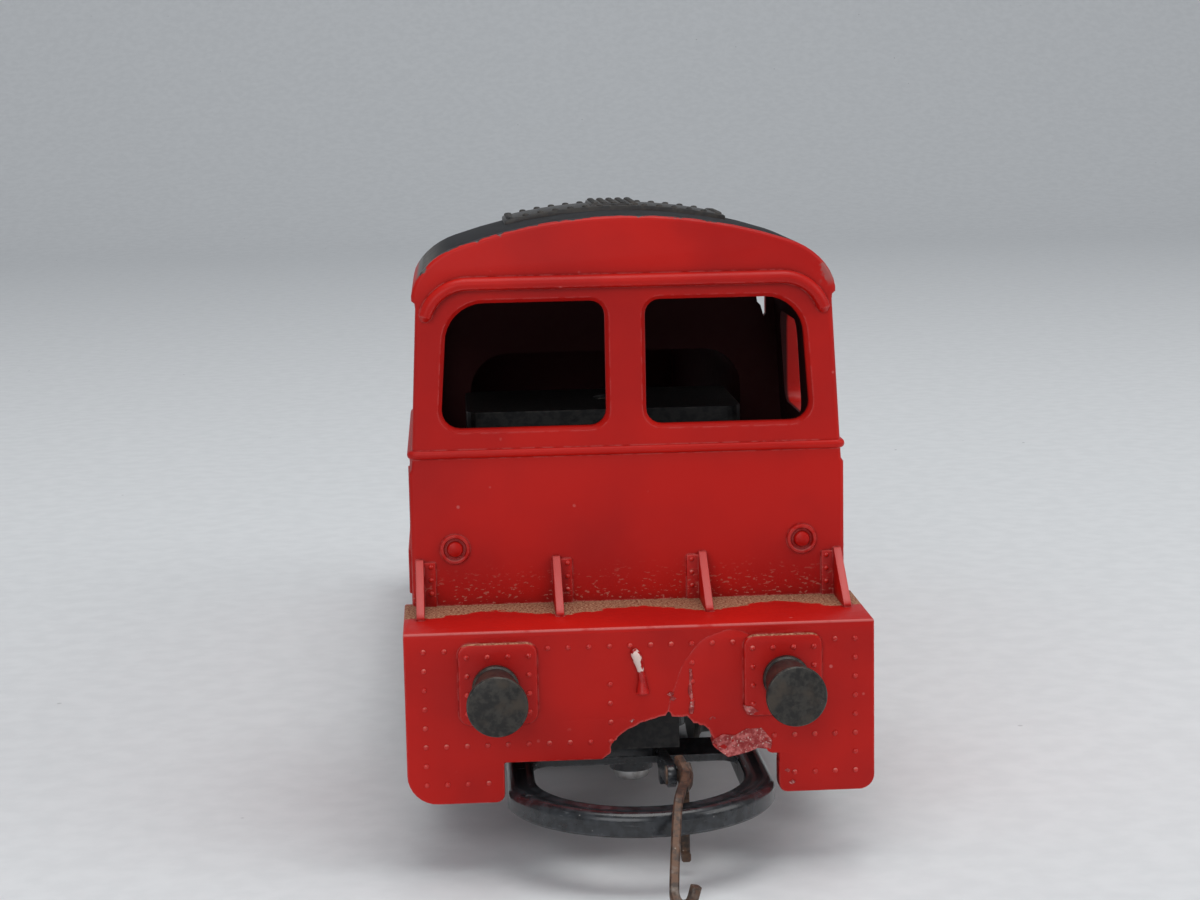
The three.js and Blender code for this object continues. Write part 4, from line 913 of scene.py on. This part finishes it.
def rain_strip(wall, outward):
    """The eyebrow over the windows: straight in the middle and curved down at both ends."""
    high, turn_x, turn_r = DECK_Z + 26.85, 12.7, 4.1
    half = 0.52
    centre = high - turn_r
    left = arc(-turn_x, centre, turn_r - half, 170, 90, 12)
    right = arc(turn_x, centre, turn_r - half, 90, 10, 12)
    path = [(x, wall, z) for x, z in left + right]
    section = [(reach, half * share) for reach, share in
               ((-0.5, -1), (0.6, -1), (0.85, -0.7), (0.95, -0.2), (0.9, 0.3), (0.7, 0.75),
                (0.45, 1), (-0.5, 1))]
    rings = []
    for i, (x, y, z) in enumerate(path):
        a = path[max(i - 1, 0)]
        b = path[min(i + 1, len(path) - 1)]
        ahead = Vector((b[0] - a[0], 0, b[2] - a[2])).normalized()
        up = Vector((-ahead.z, 0, ahead.x))
        taper = 0.45 if i in (0, len(path) - 1) else 1.0
        rings.append([Vector((x, y + outward * reach * (taper if reach > 0 else 1), z)) + up * rise * taper
                      for reach, rise in section])
    return loft(rings)


def drawhook(end):
    """A hook moulded on the beam's face, half sunk into it."""
    face = end * (HALF_LENGTH + 0.1)
    bends = [(-0.55, 17.6), (-0.35, 17.1), (-0.1, 16.3), (0.1, 15.3), (0.15, 14.1)]
    route = smooth_path([(x, face, z) for x, z in bends], 4)
    return swept(route, circle(0.42, 12), scale=lambda t: 0.55 + 0.5 * t + 0.25 * math.sin(7 * t))


def lies_at(edge, y):
    """Whether an edge lies in the plane across the model at y."""
    return all(abs(vert.co.y - y) < 0.01 for vert in edge.verts)


def buffer_seat(end, sign):
    """Where a buffer's axis meets the beam's face."""
    return (sign * buffer_axis.x, end * HALF_LENGTH, buffer_axis.z)


def buffer_pad(end, sign):
    outline = rounded_rect(sign * PAD_X - 3.1, sign * PAD_X + 3.1, DECK_Z - 7.4, DECK_Z - 0.9, 0.9)
    return bevelled(prism(outline, "Y", *sided(end, HALF_LENGTH - 0.5, PAD_FACE)), 0.22)


def make_shell():
    """The one red moulding."""
    corners = [(end, sign) for end in ENDS.values() for sign in SIDES.values()]
    cab = cab_solid(0, SKIRT_Z, CAB_REAR, CAB_FRONT)
    ends = [e for e in cab.edges if lies_at(e, CAB_REAR) or lies_at(e, CAB_FRONT)]
    bmesh.ops.bevel(cab, geom=ends, offset=0.4, segments=3, profile=0.5, affect="EDGES", clamp_overlap=True)
    shell = working(cab)
    deck_low = DECK_Z - DECK_T
    bonnet = bevelled(prism(bonnet_outline(low=deck_low), "Y", CAB_FRONT - WALL, BONNET_FRONT), 0.35, 3, 50)
    decks = [
        bevelled(block(-BEAM_HALF, BEAM_HALF, -HALF_LENGTH, CAB_REAR + WALL, deck_low, DECK_Z), 0.16),
        bevelled(block(-BEAM_HALF, BEAM_HALF, CAB_FRONT - WALL, HALF_LENGTH, deck_low, DECK_Z), 0.16),
    ]
    beams = [bevelled(prism(beam_outline(), "Y", *sided(end, HALF_LENGTH, HALF_LENGTH - BEAM_T)), 0.14)
             for end in ENDS.values()]
    valances = [bevelled(block(*sided(sign, BEAM_HALF, BEAM_HALF - WALL), CAB_FRONT - WALL,
                               HALF_LENGTH - 0.5, DECK_Z - 4.2, DECK_Z - 0.4), 0.14)
                for sign in SIDES.values()]
    joined(shell, [bonnet, *decks, *beams, *valances])
    joined(shell, [buffer_pad(end, sign) for end, sign in corners])
    joined(shell, [rain_strip(CAB_REAR, -1), waist_bead()])
    joined(shell, gusset_set(CAB_REAR, -1) + gusset_set(BONNET_FRONT, 1))
    joined(shell, [lamp_boss(x, CAB_REAR, -1) for x in (-LAMP_X, LAMP_X)])
    joined(shell, bonnet_fittings())
    space = cab_solid(SIDE_WALL, SKIRT_Z - 1, CAB_REAR + WALL, CAB_FRONT - WALL)
    under_half = CAB_HALF - SIDE_WALL
    under = block(-under_half, under_half, CAB_REAR - 1, CAB_FRONT + 1, SKIRT_Z - 1, deck_low)
    bonnet_space = prism(bonnet_outline(WALL, deck_low - 1), "Y", CAB_FRONT - WALL - 1, BONNET_FRONT - WALL)
    carved(shell, [space, under, bonnet_space, flared_window(-1), flared_window(1)])
    carved(shell, [*side_windows(), front_hole()])
    socket = [(0, -2.1), (2.1, -2.1), (2.1, 0.1), (0, 0.1)]
    carved(shell, [turned(outwards(socket, end), "Y", buffer_seat(end, sign)) for end, sign in corners])
    carved(shell, [break_cutter(), crack_cutter()])
    posts = [block(-POST_HALF, POST_HALF, *sided(end, *POST_SPAN), POST_LOW, DECK_Z + 1)
             for end in ENDS.values()]
    joined(shell, posts)
    return shell


def break_cutter():
    """The broken hole, ragged between its corners. Its far edge is shifted a little, as torn plastic is."""
    random.seed(11)
    ragged = []
    for (ax, az), (bx, bz) in zip(BREAK, BREAK[1:]):
        ragged.append((ax, az))
        for share in (0.35, 0.7):
            ragged.append((ax + (bx - ax) * share + random.uniform(-0.07, 0.07),
                           az + (bz - az) * share + random.uniform(-0.07, 0.07)))
    ragged.append(BREAK[-1])
    near = [(x, -HALF_LENGTH - 1, z) for x, z in ragged]
    mid = [(x, -HALF_LENGTH + 0.3, z) for x, z in ragged]
    far = [(x + random.uniform(-0.1, 0.1), -HALF_LENGTH + BEAM_T + 0.5, z + random.uniform(-0.05, 0.2))
           for x, z in ragged]
    return loft([near, mid, far])


def crack_cutter():
    path = smooth_path([(x, -HALF_LENGTH, z) for x, z in CRACK], 3)
    return swept(path, [(-0.07, 0), (0, -0.16), (0.07, 0), (0, 0.16)])


def side_windows():
    ring = rounded_rect(-35, -24.7, DECK_Z + 13.4, DECK_Z + 21.6, 1.6)
    return [prism(ring, "X", *sided(sign, 14, 20)) for sign in SIDES.values()]


def front_hole():
    """A ragged hole through the cab's front wall, beside the bonnet."""
    low, high = DECK_Z + 20.6, DECK_Z + 25
    edge = [(14.6, low), (14.8, low + 0.3), (14.8, high), (13.1, high), (13.2, high - 0.9),
            (13.3, high - 1.9), (13.6, high - 2.1), (13.9, high - 2.3), (14.0, high - 3.0),
            (14.3, high - 3.3)]
    return prism(edge, "Y", CAB_FRONT - 2, CAB_FRONT + 1)


def bonnet_doors():
    """The (start, end) of each side door along the bonnet."""
    starts = [CAB_FRONT + 1.5 + i * DOOR_PITCH for i in range(DOOR_COUNT)]
    return [(y, y + DOOR_LENGTH) for y in starts]


def bonnet_fittings():
    """Side doors, the grille's bars and the exhaust, all part of the moulding."""
    fittings = []
    for sign in SIDES.values():
        xs = sided(sign, BONNET_HALF - 0.5, BONNET_HALF + 0.3)
        fittings += [bevelled(block(*xs, y0, y1, DECK_Z + 2, BONNET_TOP - BONNET_CORNER - 0.6), 0.15)
                     for y0, y1 in bonnet_doors()]
    z = DECK_Z + 3
    while z < BONNET_TOP - 4:
        fittings.append(bevelled(block(-8, 8, BONNET_FRONT - 0.5, BONNET_FRONT + 0.45, z, z + 0.8), 0.15))
        z += 1.6
    stack = [(0, -1), (1.6, -1), (1.6, 0.4), (1.35, 0.7), (1.35, 2.9), (1.55, 3.0), (1.55, 3.35),
             (1.1, 3.35), (1.1, 2.0), (0, 2.0)]
    fittings.append(turned(stack, "Z", (0, 24, BONNET_TOP), 28))
    return fittings


place_piece("body_shell_red", make_shell(), RED_SHELL, "chassis", ["body_shell"])
for end_name, end in ENDS.items():
    place_piece(f"drawhook_{end_name}", drawhook(end), CHIPPED_RED, "chassis")


# ---------------------------------------------------------------- rivets


def dome(centre, outward, radius=0.21, rise=0.14):
    profile = [(0, -0.05), (radius, -0.05), (radius * 0.93, rise * 0.45), (radius * 0.6, rise * 0.85),
               (0, rise)]
    bm = turned(profile, "Z", (0, 0, 0), 10)
    turn = Vector((0, 0, 1)).rotation_difference(Vector(outward)).to_matrix().to_4x4()
    bm.transform(Matrix.Translation(centre) @ turn)
    return bm


def beam_rivets(end):
    """Evenly spaced rows and columns, as the beam's plates would be riveted."""
    wanted = {(i, 0) for i in (0, 1, *range(6, 16), 20, 21)}
    wanted |= {(i, k) for i in (0, 21) for k in range(RIVET_ROWS)}
    wanted |= {(i, 5) for i in (*range(0, 10), *range(17, 22))}
    wanted |= {(i, 7) for i in (1, 2, 3, 18, 19, 20)}
    wanted |= {(9, k) for k in (2, 3, 4)} | {(13, k) for k in (1, 2, 3)}
    if end > 0:
        wanted |= {(i, 5) for i in range(RIVET_COLUMNS)}
    spots = []
    for i, k in sorted(wanted):
        x = (i - (RIVET_COLUMNS - 1) / 2) * RIVET_PITCH
        z = DECK_Z - 1.47 - k * RIVET_ROW
        spots.append((x, z))
    return spots


def pad_rivets():
    spots = []
    for sign in SIDES.values():
        for i in range(4):
            for k in range(4):
                if i in (0, 3) or k in (0, 3):
                    spots.append((sign * PAD_X + (i - 1.5) * 1.62, DECK_Z - 1.9 - k * 1.5))
    return spots


def flange_rivets():
    """Three small rivets down each bracket's flange on the cab's rear wall."""
    spots = []
    for x in BRACKET_X:
        inward = -1 if x > 0 else 1
        spots += [(x + inward * 0.9, CAB_REAR - FLANGE_T, DECK_Z + rise) for rise in (1.1, 2.2, 3.3)]
    return spots


def make_rivets(end_name, end):
    face = end * HALF_LENGTH
    out = (0, end, 0)
    bms = [dome((x, face, z), out) for x, z in beam_rivets(end)]
    bms += [dome((x, end * PAD_FACE, z), out) for x, z in pad_rivets()]
    if end < 0:
        bms += [dome(spot, out, 0.2, 0.14) for spot in flange_rivets()]
    place_piece(f"beam_rivets_{end_name}", merged(bms), RIVET_RED, "chassis")


for end_name, end in ENDS.items():
    make_rivets(end_name, end)


# ---------------------------------------------------------------- roof hatch

HATCH_HALF = 9.3
HATCH_REAR = -37.0
HATCH_FRONT = -28.0
STUD_PITCH = 1.25
STUD_INSET = 0.45


def hatch_z(x, y):
    fall = DROOP * max(0, y - DROOP_START) ** 2
    return crown_z(x) - fall + 0.38


def stud(x, y, z):
    return dome((x, y, z), (0, 0, 1), 0.3, 0.17)


def make_hatch():
    """A thin riveted plate over the roof with a raised block along its middle, all in black paint."""
    shares = [i / 8 for i in range(-8, 9)]
    rings = []
    for y in (HATCH_REAR, DROOP_START, -29.5, HATCH_FRONT):
        over = [(HATCH_HALF * s, y, hatch_z(HATCH_HALF * s, y)) for s in shares]
        under = [(x, y, z - 0.9) for x, y, z in reversed(over)]
        rings.append(over + under)
    plate = bevelled(loft(rings), 0.12, 2, 40)
    cap = bevelled(block(-2.05, 2.05, -36, -29, ROOF_Z - 0.2, ROOF_Z + 0.5), 0.15)
    bms = [plate, cap]
    for x in [(i - 7) * STUD_PITCH for i in range(15)]:
        bms += [stud(x, y, hatch_z(x, y)) for y in (HATCH_REAR + STUD_INSET, HATCH_FRONT - STUD_INSET)]
    side_row = 8.85
    for y in [HATCH_REAR + STUD_INSET + STUD_PITCH * i for i in range(1, 7)]:
        bms += [stud(sign * side_row, y, hatch_z(side_row, y)) for sign in SIDES.values()]
        bms += [stud(x, y, ROOF_Z + 0.5) for x in (-1.6, -0.8, 0, 0.8, 1.6)]
    place_piece("roof_hatch_black", merged(bms), ROOF_BLACK, "chassis")


make_hatch()


# ---------------------------------------------------------------- the break's repairs


def rough_patch(points, face, lift, seed):
    """A lump of torn plastic on a face: an outline whose skin is pushed about by noise."""
    bm = prism(points, "Y", face + 0.4, face - lift)
    front = [f for f in bm.faces if all(v.co.y < face for v in f.verts)]
    bmesh.ops.triangulate(bm, faces=front)
    inner = [e for e in bm.edges if all(v.co.y < face for v in e.verts)]
    bmesh.ops.subdivide_edges(bm, edges=inner, cuts=3, use_grid_fill=True)
    for vert in bm.verts:
        if vert.co.y < face:
            vert.co.y -= 0.22 * (noise.noise(vert.co * 1.7 + Vector((seed, 0, 0))) - 0.1)
    bmesh.ops.recalc_face_normals(bm, faces=bm.faces)
    return bm


def glue_run():
    route = smooth_path([(x, -HALF_LENGTH, z) for x, z in GLUE_RUN], 5)
    return swept(route, circle(0.14, 8), scale=lambda t: 0.7 + 0.9 * abs(math.sin(9 * t)) * t)


def fleck(x, z):
    """A small scrap of torn plastic on the beam."""
    outline = [(x - 0.28, z), (x, z - 0.16), (x + 0.26, z + 0.05), (x + 0.02, z + 0.2)]
    return rough_patch(outline, -HALF_LENGTH, 0.05, x)


def make_repairs():
    chip = [(8.0, 12.9), (8.7, 12.8), (9.2, 12.4), (9.1, 12.1), (8.3, 12.2)]
    spots = [(2.5, 13.5), (2.3, 13.9), (-0.8, 11.9), (5.6, 11.8), (11.6, 7.4), (11.9, 6.4), (6.2, 12.0)]
    bms = [rough_patch(FRAGMENT, -HALF_LENGTH, 0.12, 3), rough_patch(chip, -PAD_FACE, 0.08, 5), glue_run()]
    bms += [fleck(x, z) for x, z in spots]
    place_piece("repair_traces_rear", merged(bms), BROKEN_RED, "chassis")


make_repairs()


# ---------------------------------------------------------------- side details of the moulding


def make_side_details(side_name, sign):
    """Louvres, hinges and handles on the bonnet doors, and the edges of the cab door."""
    bms = []
    skin = sign * (BONNET_HALF + 0.3)
    for y0, y1 in bonnet_doors():
        for i in range(6):
            z = DECK_Z + 8 + i * 0.95
            slat = [(skin - sign * 0.1, z), (skin + sign * 0.28, z), (skin + sign * 0.3, z + 0.12),
                    (skin - sign * 0.1, z + 0.55)]
            bms.append(prism(slat, "Y", y0 + 1.6, y1 - 1.6))
        for z in (DECK_Z + 4, DECK_Z + 13):
            hinge = turned([(0, -0.7), (0.25, -0.7), (0.25, 0.7), (0, 0.7)], "Z", (skin, y0 + 0.5, z), 12)
            bms.append(hinge)
        handle = bevelled(block(*ordered(skin - sign * 0.1, skin + sign * 0.3), y1 - 1.3, y1 - 0.9,
                                DECK_Z + 4.8, DECK_Z + 6.4), 0.1)
        bms.append(handle)
    wall = sign * CAB_HALF
    sunk, proud = wall - sign * 0.2, wall + sign * 0.12
    door = [(sunk, 0.16), (proud, 0.16), (proud, -0.16), (sunk, -0.16)]
    for y in CAB_DOOR_EDGES:
        bms.append(prism([(x, y + dy) for x, dy in door], "Z", SKIRT_Z + 0.6, WAIST_Z - 1.6))
    place_piece(f"side_details_{side_name}", merged(bms), RED_SHELL, "chassis", sharp=40)


for side_name, sign in SIDES.items():
    make_side_details(side_name, sign)


# ---------------------------------------------------------------- buffers


def make_buffer(end_name, end, side_name, sign):
    profile = [(0, -0.1), (1.8, -0.1), (1.85, 0.5), (1.85, 1.0), (1.72, 1.15), (1.72, 4.6), (1.95, 5.4),
               (2.2, 5.75), (2.35, 5.95), (2.35, 6.3), (2.27, 6.42), (2.0, 6.5), (1.2, 6.62), (0, 6.7)]
    bm = turned(outwards(profile, end), "Y", buffer_seat(end, sign), 56)
    place_piece(f"buffer_{end_name}_{side_name}_turned", bm, DARK_STEEL, "chassis",
                [f"buffer_{end_name}_{side_name}"])


for end_name, end in ENDS.items():
    for side_name, sign in SIDES.items():
        make_buffer(end_name, end, side_name, sign)


# ---------------------------------------------------------------- couplings

LOOP_Y = -52.8
LOOP_HALF = 10.6
OUTER_R = 10.9
INNER_R = 8.4
COUPLER_LOW = 4.7
COUPLER_TOP = 6.6
COUPLER_END = -42.4
CROSSBAR_Y = -47.5
CROSSBAR_LOW = 5.9
SCREW_Y = -44.0
HOOK_X = 3.1
PIVOT = (HOOK_X, -57.2, 7.7)


def at_end(bm, end):
    """What is drawn for the rear end, turned round for the front one."""
    if end > 0:
        bm.transform(Matrix.Rotation(math.pi, 4, "Z"))
    return bm


def loop_bar():
    """The loop's thick bar: a rounded outer shoulder, a hollow along its top and a thin inner lip."""
    section = [(0, COUPLER_LOW), (0.93, COUPLER_LOW), (1, COUPLER_LOW + 0.2), (1, 5.9), (0.97, 6.25),
               (0.88, 6.5), (0.76, 6.6), (0.62, 6.55), (0.45, 6.42), (0.25, 6.42), (0.12, 6.54),
               (0.05, 6.52), (0, 6.4)]
    reach = math.degrees(math.asin(LOOP_HALF / OUTER_R))
    outer = arc(0, LOOP_Y, OUTER_R, 270 - reach, 270 + reach, 40)
    inner = arc(0, LOOP_Y, INNER_R, 180, 360, 40)
    arm = [((-LOOP_HALF, y), (-INNER_R, y)) for y in (COUPLER_END, -46, -50)]
    far_arm = [((-a[0], a[1]), (-b[0], b[1])) for a, b in reversed(arm)]
    stations = arm + list(zip(outer, inner)) + far_arm
    rings = [[(b[0] + (a[0] - b[0]) * share, b[1] + (a[1] - b[1]) * share, z) for share, z in section]
             for a, b in stations]
    return loft(rings)


def crossbar():
    fillet = 1.5
    half = INNER_R + 0.3
    corner = INNER_R - fillet
    outline = ([(-half, COUPLER_END), (-half, CROSSBAR_Y - fillet)]
               + arc(-corner, CROSSBAR_Y - fillet, fillet, 180, 90, 6)
               + arc(corner, CROSSBAR_Y - fillet, fillet, 90, 0, 6)
               + [(half, CROSSBAR_Y - fillet), (half, COUPLER_END)])
    return prism(outline, "Z", CROSSBAR_LOW, 6.5)


def ear(x0, x1):
    y, z = PIVOT[1:]
    foot = CROSSBAR_Y + 1.5
    side = [(y, z - 1), *reversed(arc(y, z, 0.9, 60, 230, 8)), (CROSSBAR_Y - 1, z - 0.3),
            (foot, COUPLER_TOP - 0.1), (foot, 6.1), (-49, 5.8), (-49.1, 4.95), (-50.4, 4.9), (-50.8, 5.8)]
    return bevelled(prism(side, "X", x0, x1), 0.08, 2, 40)


def make_coupling_bar(end_name, end):
    bar = working(at_end(loop_bar(), end))
    boss = [(0, COUPLER_LOW), (1.8, COUPLER_LOW), (1.8, 6.4), (0, 6.4)]
    screw_block = turned(boss, "Z", (0, SCREW_Y, 0), 32)
    seat = bevelled(block(-3, 1.6, CROSSBAR_Y + 0.1, COUPLER_END, 6.1, 8.5), 0.15)
    joined(bar, [at_end(bm, end) for bm in (crossbar(), screw_block, seat, ear(1.85, 2.55))])
    place_piece(f"coupling_bar_{end_name}_moulded", bar, BLACK_MOULDING, "chassis",
                [f"coupling_bar_{end_name}"])


def make_hook(end_name, end):
    """A bent strip: over the bar, down in front of it and curled up, with an eye and a dropper."""
    y, z = PIVOT[1:]
    half, cut = 0.36, 0.24
    flat = [(half, -cut), (half, cut), (cut, half), (-cut, half), (-half, cut), (-half, -cut), (-cut, -half),
            (cut, -half)]
    over_bar = [(2.75, y - 0.1, z + 1.3), (2.95, y - 0.9, z + 1.0), (HOOK_X, y - 1.8, z + 0.55),
                (2.8, y - 3.4, z + 0.2)]
    down = [(2.1, -63.3, 7.2), (1.6, -66.4, 5.3), (1.15, -69.6, 3.2)]
    curl = [(1.1, -70.6, 2.35), (1.5, -71.1, 1.95), (2.2, -71.2, 2.2), (2.6, -71.2, 3.4)]
    shank = swept(smooth_path(over_bar + down + curl, 5), flat)
    drop = smooth_path([(HOOK_X, y - 0.8, z + 0.3), (HOOK_X, y - 0.84, 4.6), (HOOK_X, y - 0.84, 2.2),
                        (HOOK_X, y - 1.1, 1.6), (HOOK_X, y - 1.8, 1.5)], 5)
    fold = smooth_path([(3.3, y - 0.2, z + 0.75), (3.4, y - 1.2, z + 0.3), (3.2, y - 2.6, z + 0.1),
                        (2.7, y - 4.0, z)], 5)
    ring = turned([(0, -half), (0.9, -half), (0.9, half), (0, half)], "X", PIVOT, 28)
    hook = working(at_end(shank, end))
    joined(hook, [at_end(bm, end) for bm in (swept(drop, flat), swept(fold, flat), ring)])
    place_piece(f"coupling_hook_{end_name}_strip", hook, RUSTY_STEEL, f"hook_{end_name}",
                [f"coupling_hook_{end_name}"])


def make_hook_pin(end_name, end):
    pin = [(0, 1.7), (0.75, 1.7), (0.75, 1.84), (0.5, 1.84), (0.5, 3.5), (0.4, 3.58), (0, 3.58)]
    bm = at_end(turned(pin, "X", (0, PIVOT[1], PIVOT[2]), 24), end)
    place_piece(f"hook_pin_{end_name}_turned", bm, RUSTY_STEEL, "chassis",
                [f"hook_pin_{end_name}"])


for end_name, end in ENDS.items():
    make_coupling_bar(end_name, end)
    make_hook(end_name, end)
    make_hook_pin(end_name, end)


# ---------------------------------------------------------------- wheels, rods and axles

AXLE_Z = 8.0
CRANK_R = 3.4
WHEEL_BACK = 7.25
CRANK_ANGLE = {"left": -math.pi / 3, "right": math.pi / 6}
AXLE_Y = {"rear": -20.0, "front": 20.0}


def crank_spot(side_name, y):
    angle = CRANK_ANGLE[side_name]
    return y + CRANK_R * math.cos(angle), AXLE_Z + CRANK_R * math.sin(angle)


def make_wheel(end_name, side_name, sign):
    """A disc wheel with a flanged tyre, a raised hub, a crank boss and a balance weight opposite it."""
    y = AXLE_Y[end_name]
    tyre = [(1.05, 0), (7.9, 0), (8, 0.12), (8, 0.35), (7.85, 0.55), (7.3, 0.75), (7.0, 1.0), (6.88, 2.65),
            (6.75, 2.8), (5.85, 2.8), (5.65, 2.6), (5.45, 1.95), (2.5, 1.95), (2.35, 2.1), (2.2, 2.8),
            (1.05, 2.8), (1.05, 0)]
    wheel = working(turned(outwards(tyre, sign), "X", (sign * WHEEL_BACK, y, AXLE_Z), 64))
    boss_y, boss_z = crank_spot(side_name, y)
    boss = [(0, 1.2), (1.7, 1.2), (1.7, 2.95), (1.6, 3.08), (0, 3.08)]
    opposite = math.degrees(CRANK_ANGLE[side_name]) + 180
    weight = (arc(y, AXLE_Z, 5.7, opposite - 42, opposite + 42, 16)
              + arc(y, AXLE_Z, 3.3, opposite + 34, opposite - 34, 12))
    xs = sided(sign, WHEEL_BACK + 1.5, WHEEL_BACK + 2.55)
    joined(wheel, [turned(outwards(boss, sign), "X", (sign * WHEEL_BACK, boss_y, boss_z), 36),
                   bevelled(prism(weight, "X", *xs), 0.12)])
    place_piece(f"wheel_{end_name}_{side_name}_turned", wheel, DARK_STEEL, f"{end_name}_wheelset",
                [f"wheel_{end_name}_{side_name}"])


def make_crankpin(end_name, side_name, sign):
    y, z = crank_spot(side_name, AXLE_Y[end_name])
    pin = [(0, 10.3), (0.7, 10.3), (0.7, 10.45), (1, 10.5), (1, 11.85), (1.5, 11.85), (1.5, 12.2),
           (1.35, 12.42), (1.1, 12.55), (0, 12.55)]
    screw = working(turned(outwards(pin, sign), "X", (0, y, z), 32))
    carved(screw, [block(*sided(sign, 12.3, 13), y - 0.2, y + 0.2, z - 2, z + 2)])
    place_piece(f"crankpin_{end_name}_{side_name}_screw", screw, BRIGHT_STEEL, f"{end_name}_wheelset",
                [f"crankpin_{end_name}_{side_name}"])


def make_axle(end_name):
    half = 9.85
    profile = [(0, -half), (0.85, -half), (1, 0.15 - half), (1, half - 0.15), (0.85, half), (0, half)]
    bm = turned(profile, "X", (0, AXLE_Y[end_name], AXLE_Z), 32)
    place_piece(f"axle_{end_name}_turned", bm, BRIGHT_STEEL, f"{end_name}_wheelset",
                [f"axle_{end_name}"])


def make_rod(side_name, sign):
    """A side rod: round eyes, rounded edges and a flute along its outer face."""
    x0, x1 = 10.7, 11.6
    xs = sided(sign, x0, x1)
    spots = [crank_spot(side_name, y) for y in AXLE_Y.values()]
    rear, front = spots[0][0], spots[1][0]
    z = spots[0][1]
    eye = [(0, x0), (1.8, x0), (1.9, x0 + 0.1), (1.9, x1 - 0.1), (1.8, x1), (0, x1)]
    rod = working(bevelled(block(*xs, rear, front, z - 0.85, z + 0.85), 0.12))
    joined(rod, [turned(outwards(eye, sign), "X", (0, y, z), 40) for y, _ in spots])
    flute = bevelled(block(*sided(sign, x1 - 0.25, x1 + 1), rear + 3.2, front - 3.2, z - 0.42, z + 0.42), 0.1)
    bore = [(0, x0 - 1), (1.1, x0 - 1), (1.1, x1 + 1), (0, x1 + 1)]
    carved(rod, [flute] + [turned(outwards(bore, sign), "X", (0, y, z), 32) for y, _ in spots])
    place_piece(f"coupling_rod_{side_name}_fluted", rod, BRIGHT_STEEL, f"rod_{side_name}",
                [f"coupling_rod_{side_name}"])


for end_name in ENDS:
    make_axle(end_name)
    for side_name, sign in SIDES.items():
        make_wheel(end_name, side_name, sign)
        make_crankpin(end_name, side_name, sign)
for side_name, sign in SIDES.items():
    make_rod(side_name, sign)


# ---------------------------------------------------------------- screws


def make_screw(node, head_down=True, material=BRIGHT_STEEL):
    """A slotted cheese-head screw, as long and as wide as its CAD solid."""
    low, high = span(node)
    spot = middle(node)
    head = (high.x - low.x) / 2
    length = high.z - low.z
    profile = [(0, 0), (head * 0.72, 0), (head * 0.95, 0.18), (head, 0.4), (head, 0.8), (0.75, 0.8),
               (0.75, length - 0.4), (0.4, length), (0, length)]
    end = low.z if head_down else high.z
    way = 1 if head_down else -1
    screw = working(turned(outwards(profile, way), "Z", (spot.x, spot.y, end), 36))
    slot_depth = ordered(end - way, end + way * 0.35)
    carved(screw, [block(spot.x - 3, spot.x + 3, spot.y - 0.2, spot.y + 0.2, *slot_depth)])
    place_piece(f"{node}_slotted", screw, material, "chassis", [node])


for end_name in ENDS:
    for kind in ("keeper", "body", "coupling"):
        make_screw(f"{kind}_screw_{end_name}")
make_screw("ballast_screw", False, DARK_STEEL)


# ---------------------------------------------------------------- CAD nodes that keep their shape

KEPT = {
    BLACK_CASTING: ["chassis_frame", "ballast_weight", "motor_magnet"],
    BLACK_MOULDING: ["keeper_plate", "brush_holder"],
    DARK_STEEL: ["pole_piece_left", "pole_piece_right", "armature_core"],
    BRIGHT_STEEL: ["motor_shaft", "motor_bracket_rear", "motor_bracket_front", "brush_spring", "worm"],
    BRASS: ["worm_gear", "motor_bearing_rear", "motor_bearing_front", "pickup_left", "pickup_right"],
    COPPER: ["armature_winding_1", "armature_winding_2", "armature_winding_3", "commutator"],
    CARBON: ["brush_left", "brush_right"],
    CERAMIC: ["suppressor_capacitor"],
    BLACK_INSULATION: ["motor_lead_left"],
    RED_INSULATION: ["motor_lead_right"],
}

for material, names in KEPT.items():
    for name in names:
        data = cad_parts[name].data
        data.materials.clear()
        data.materials.append(material)
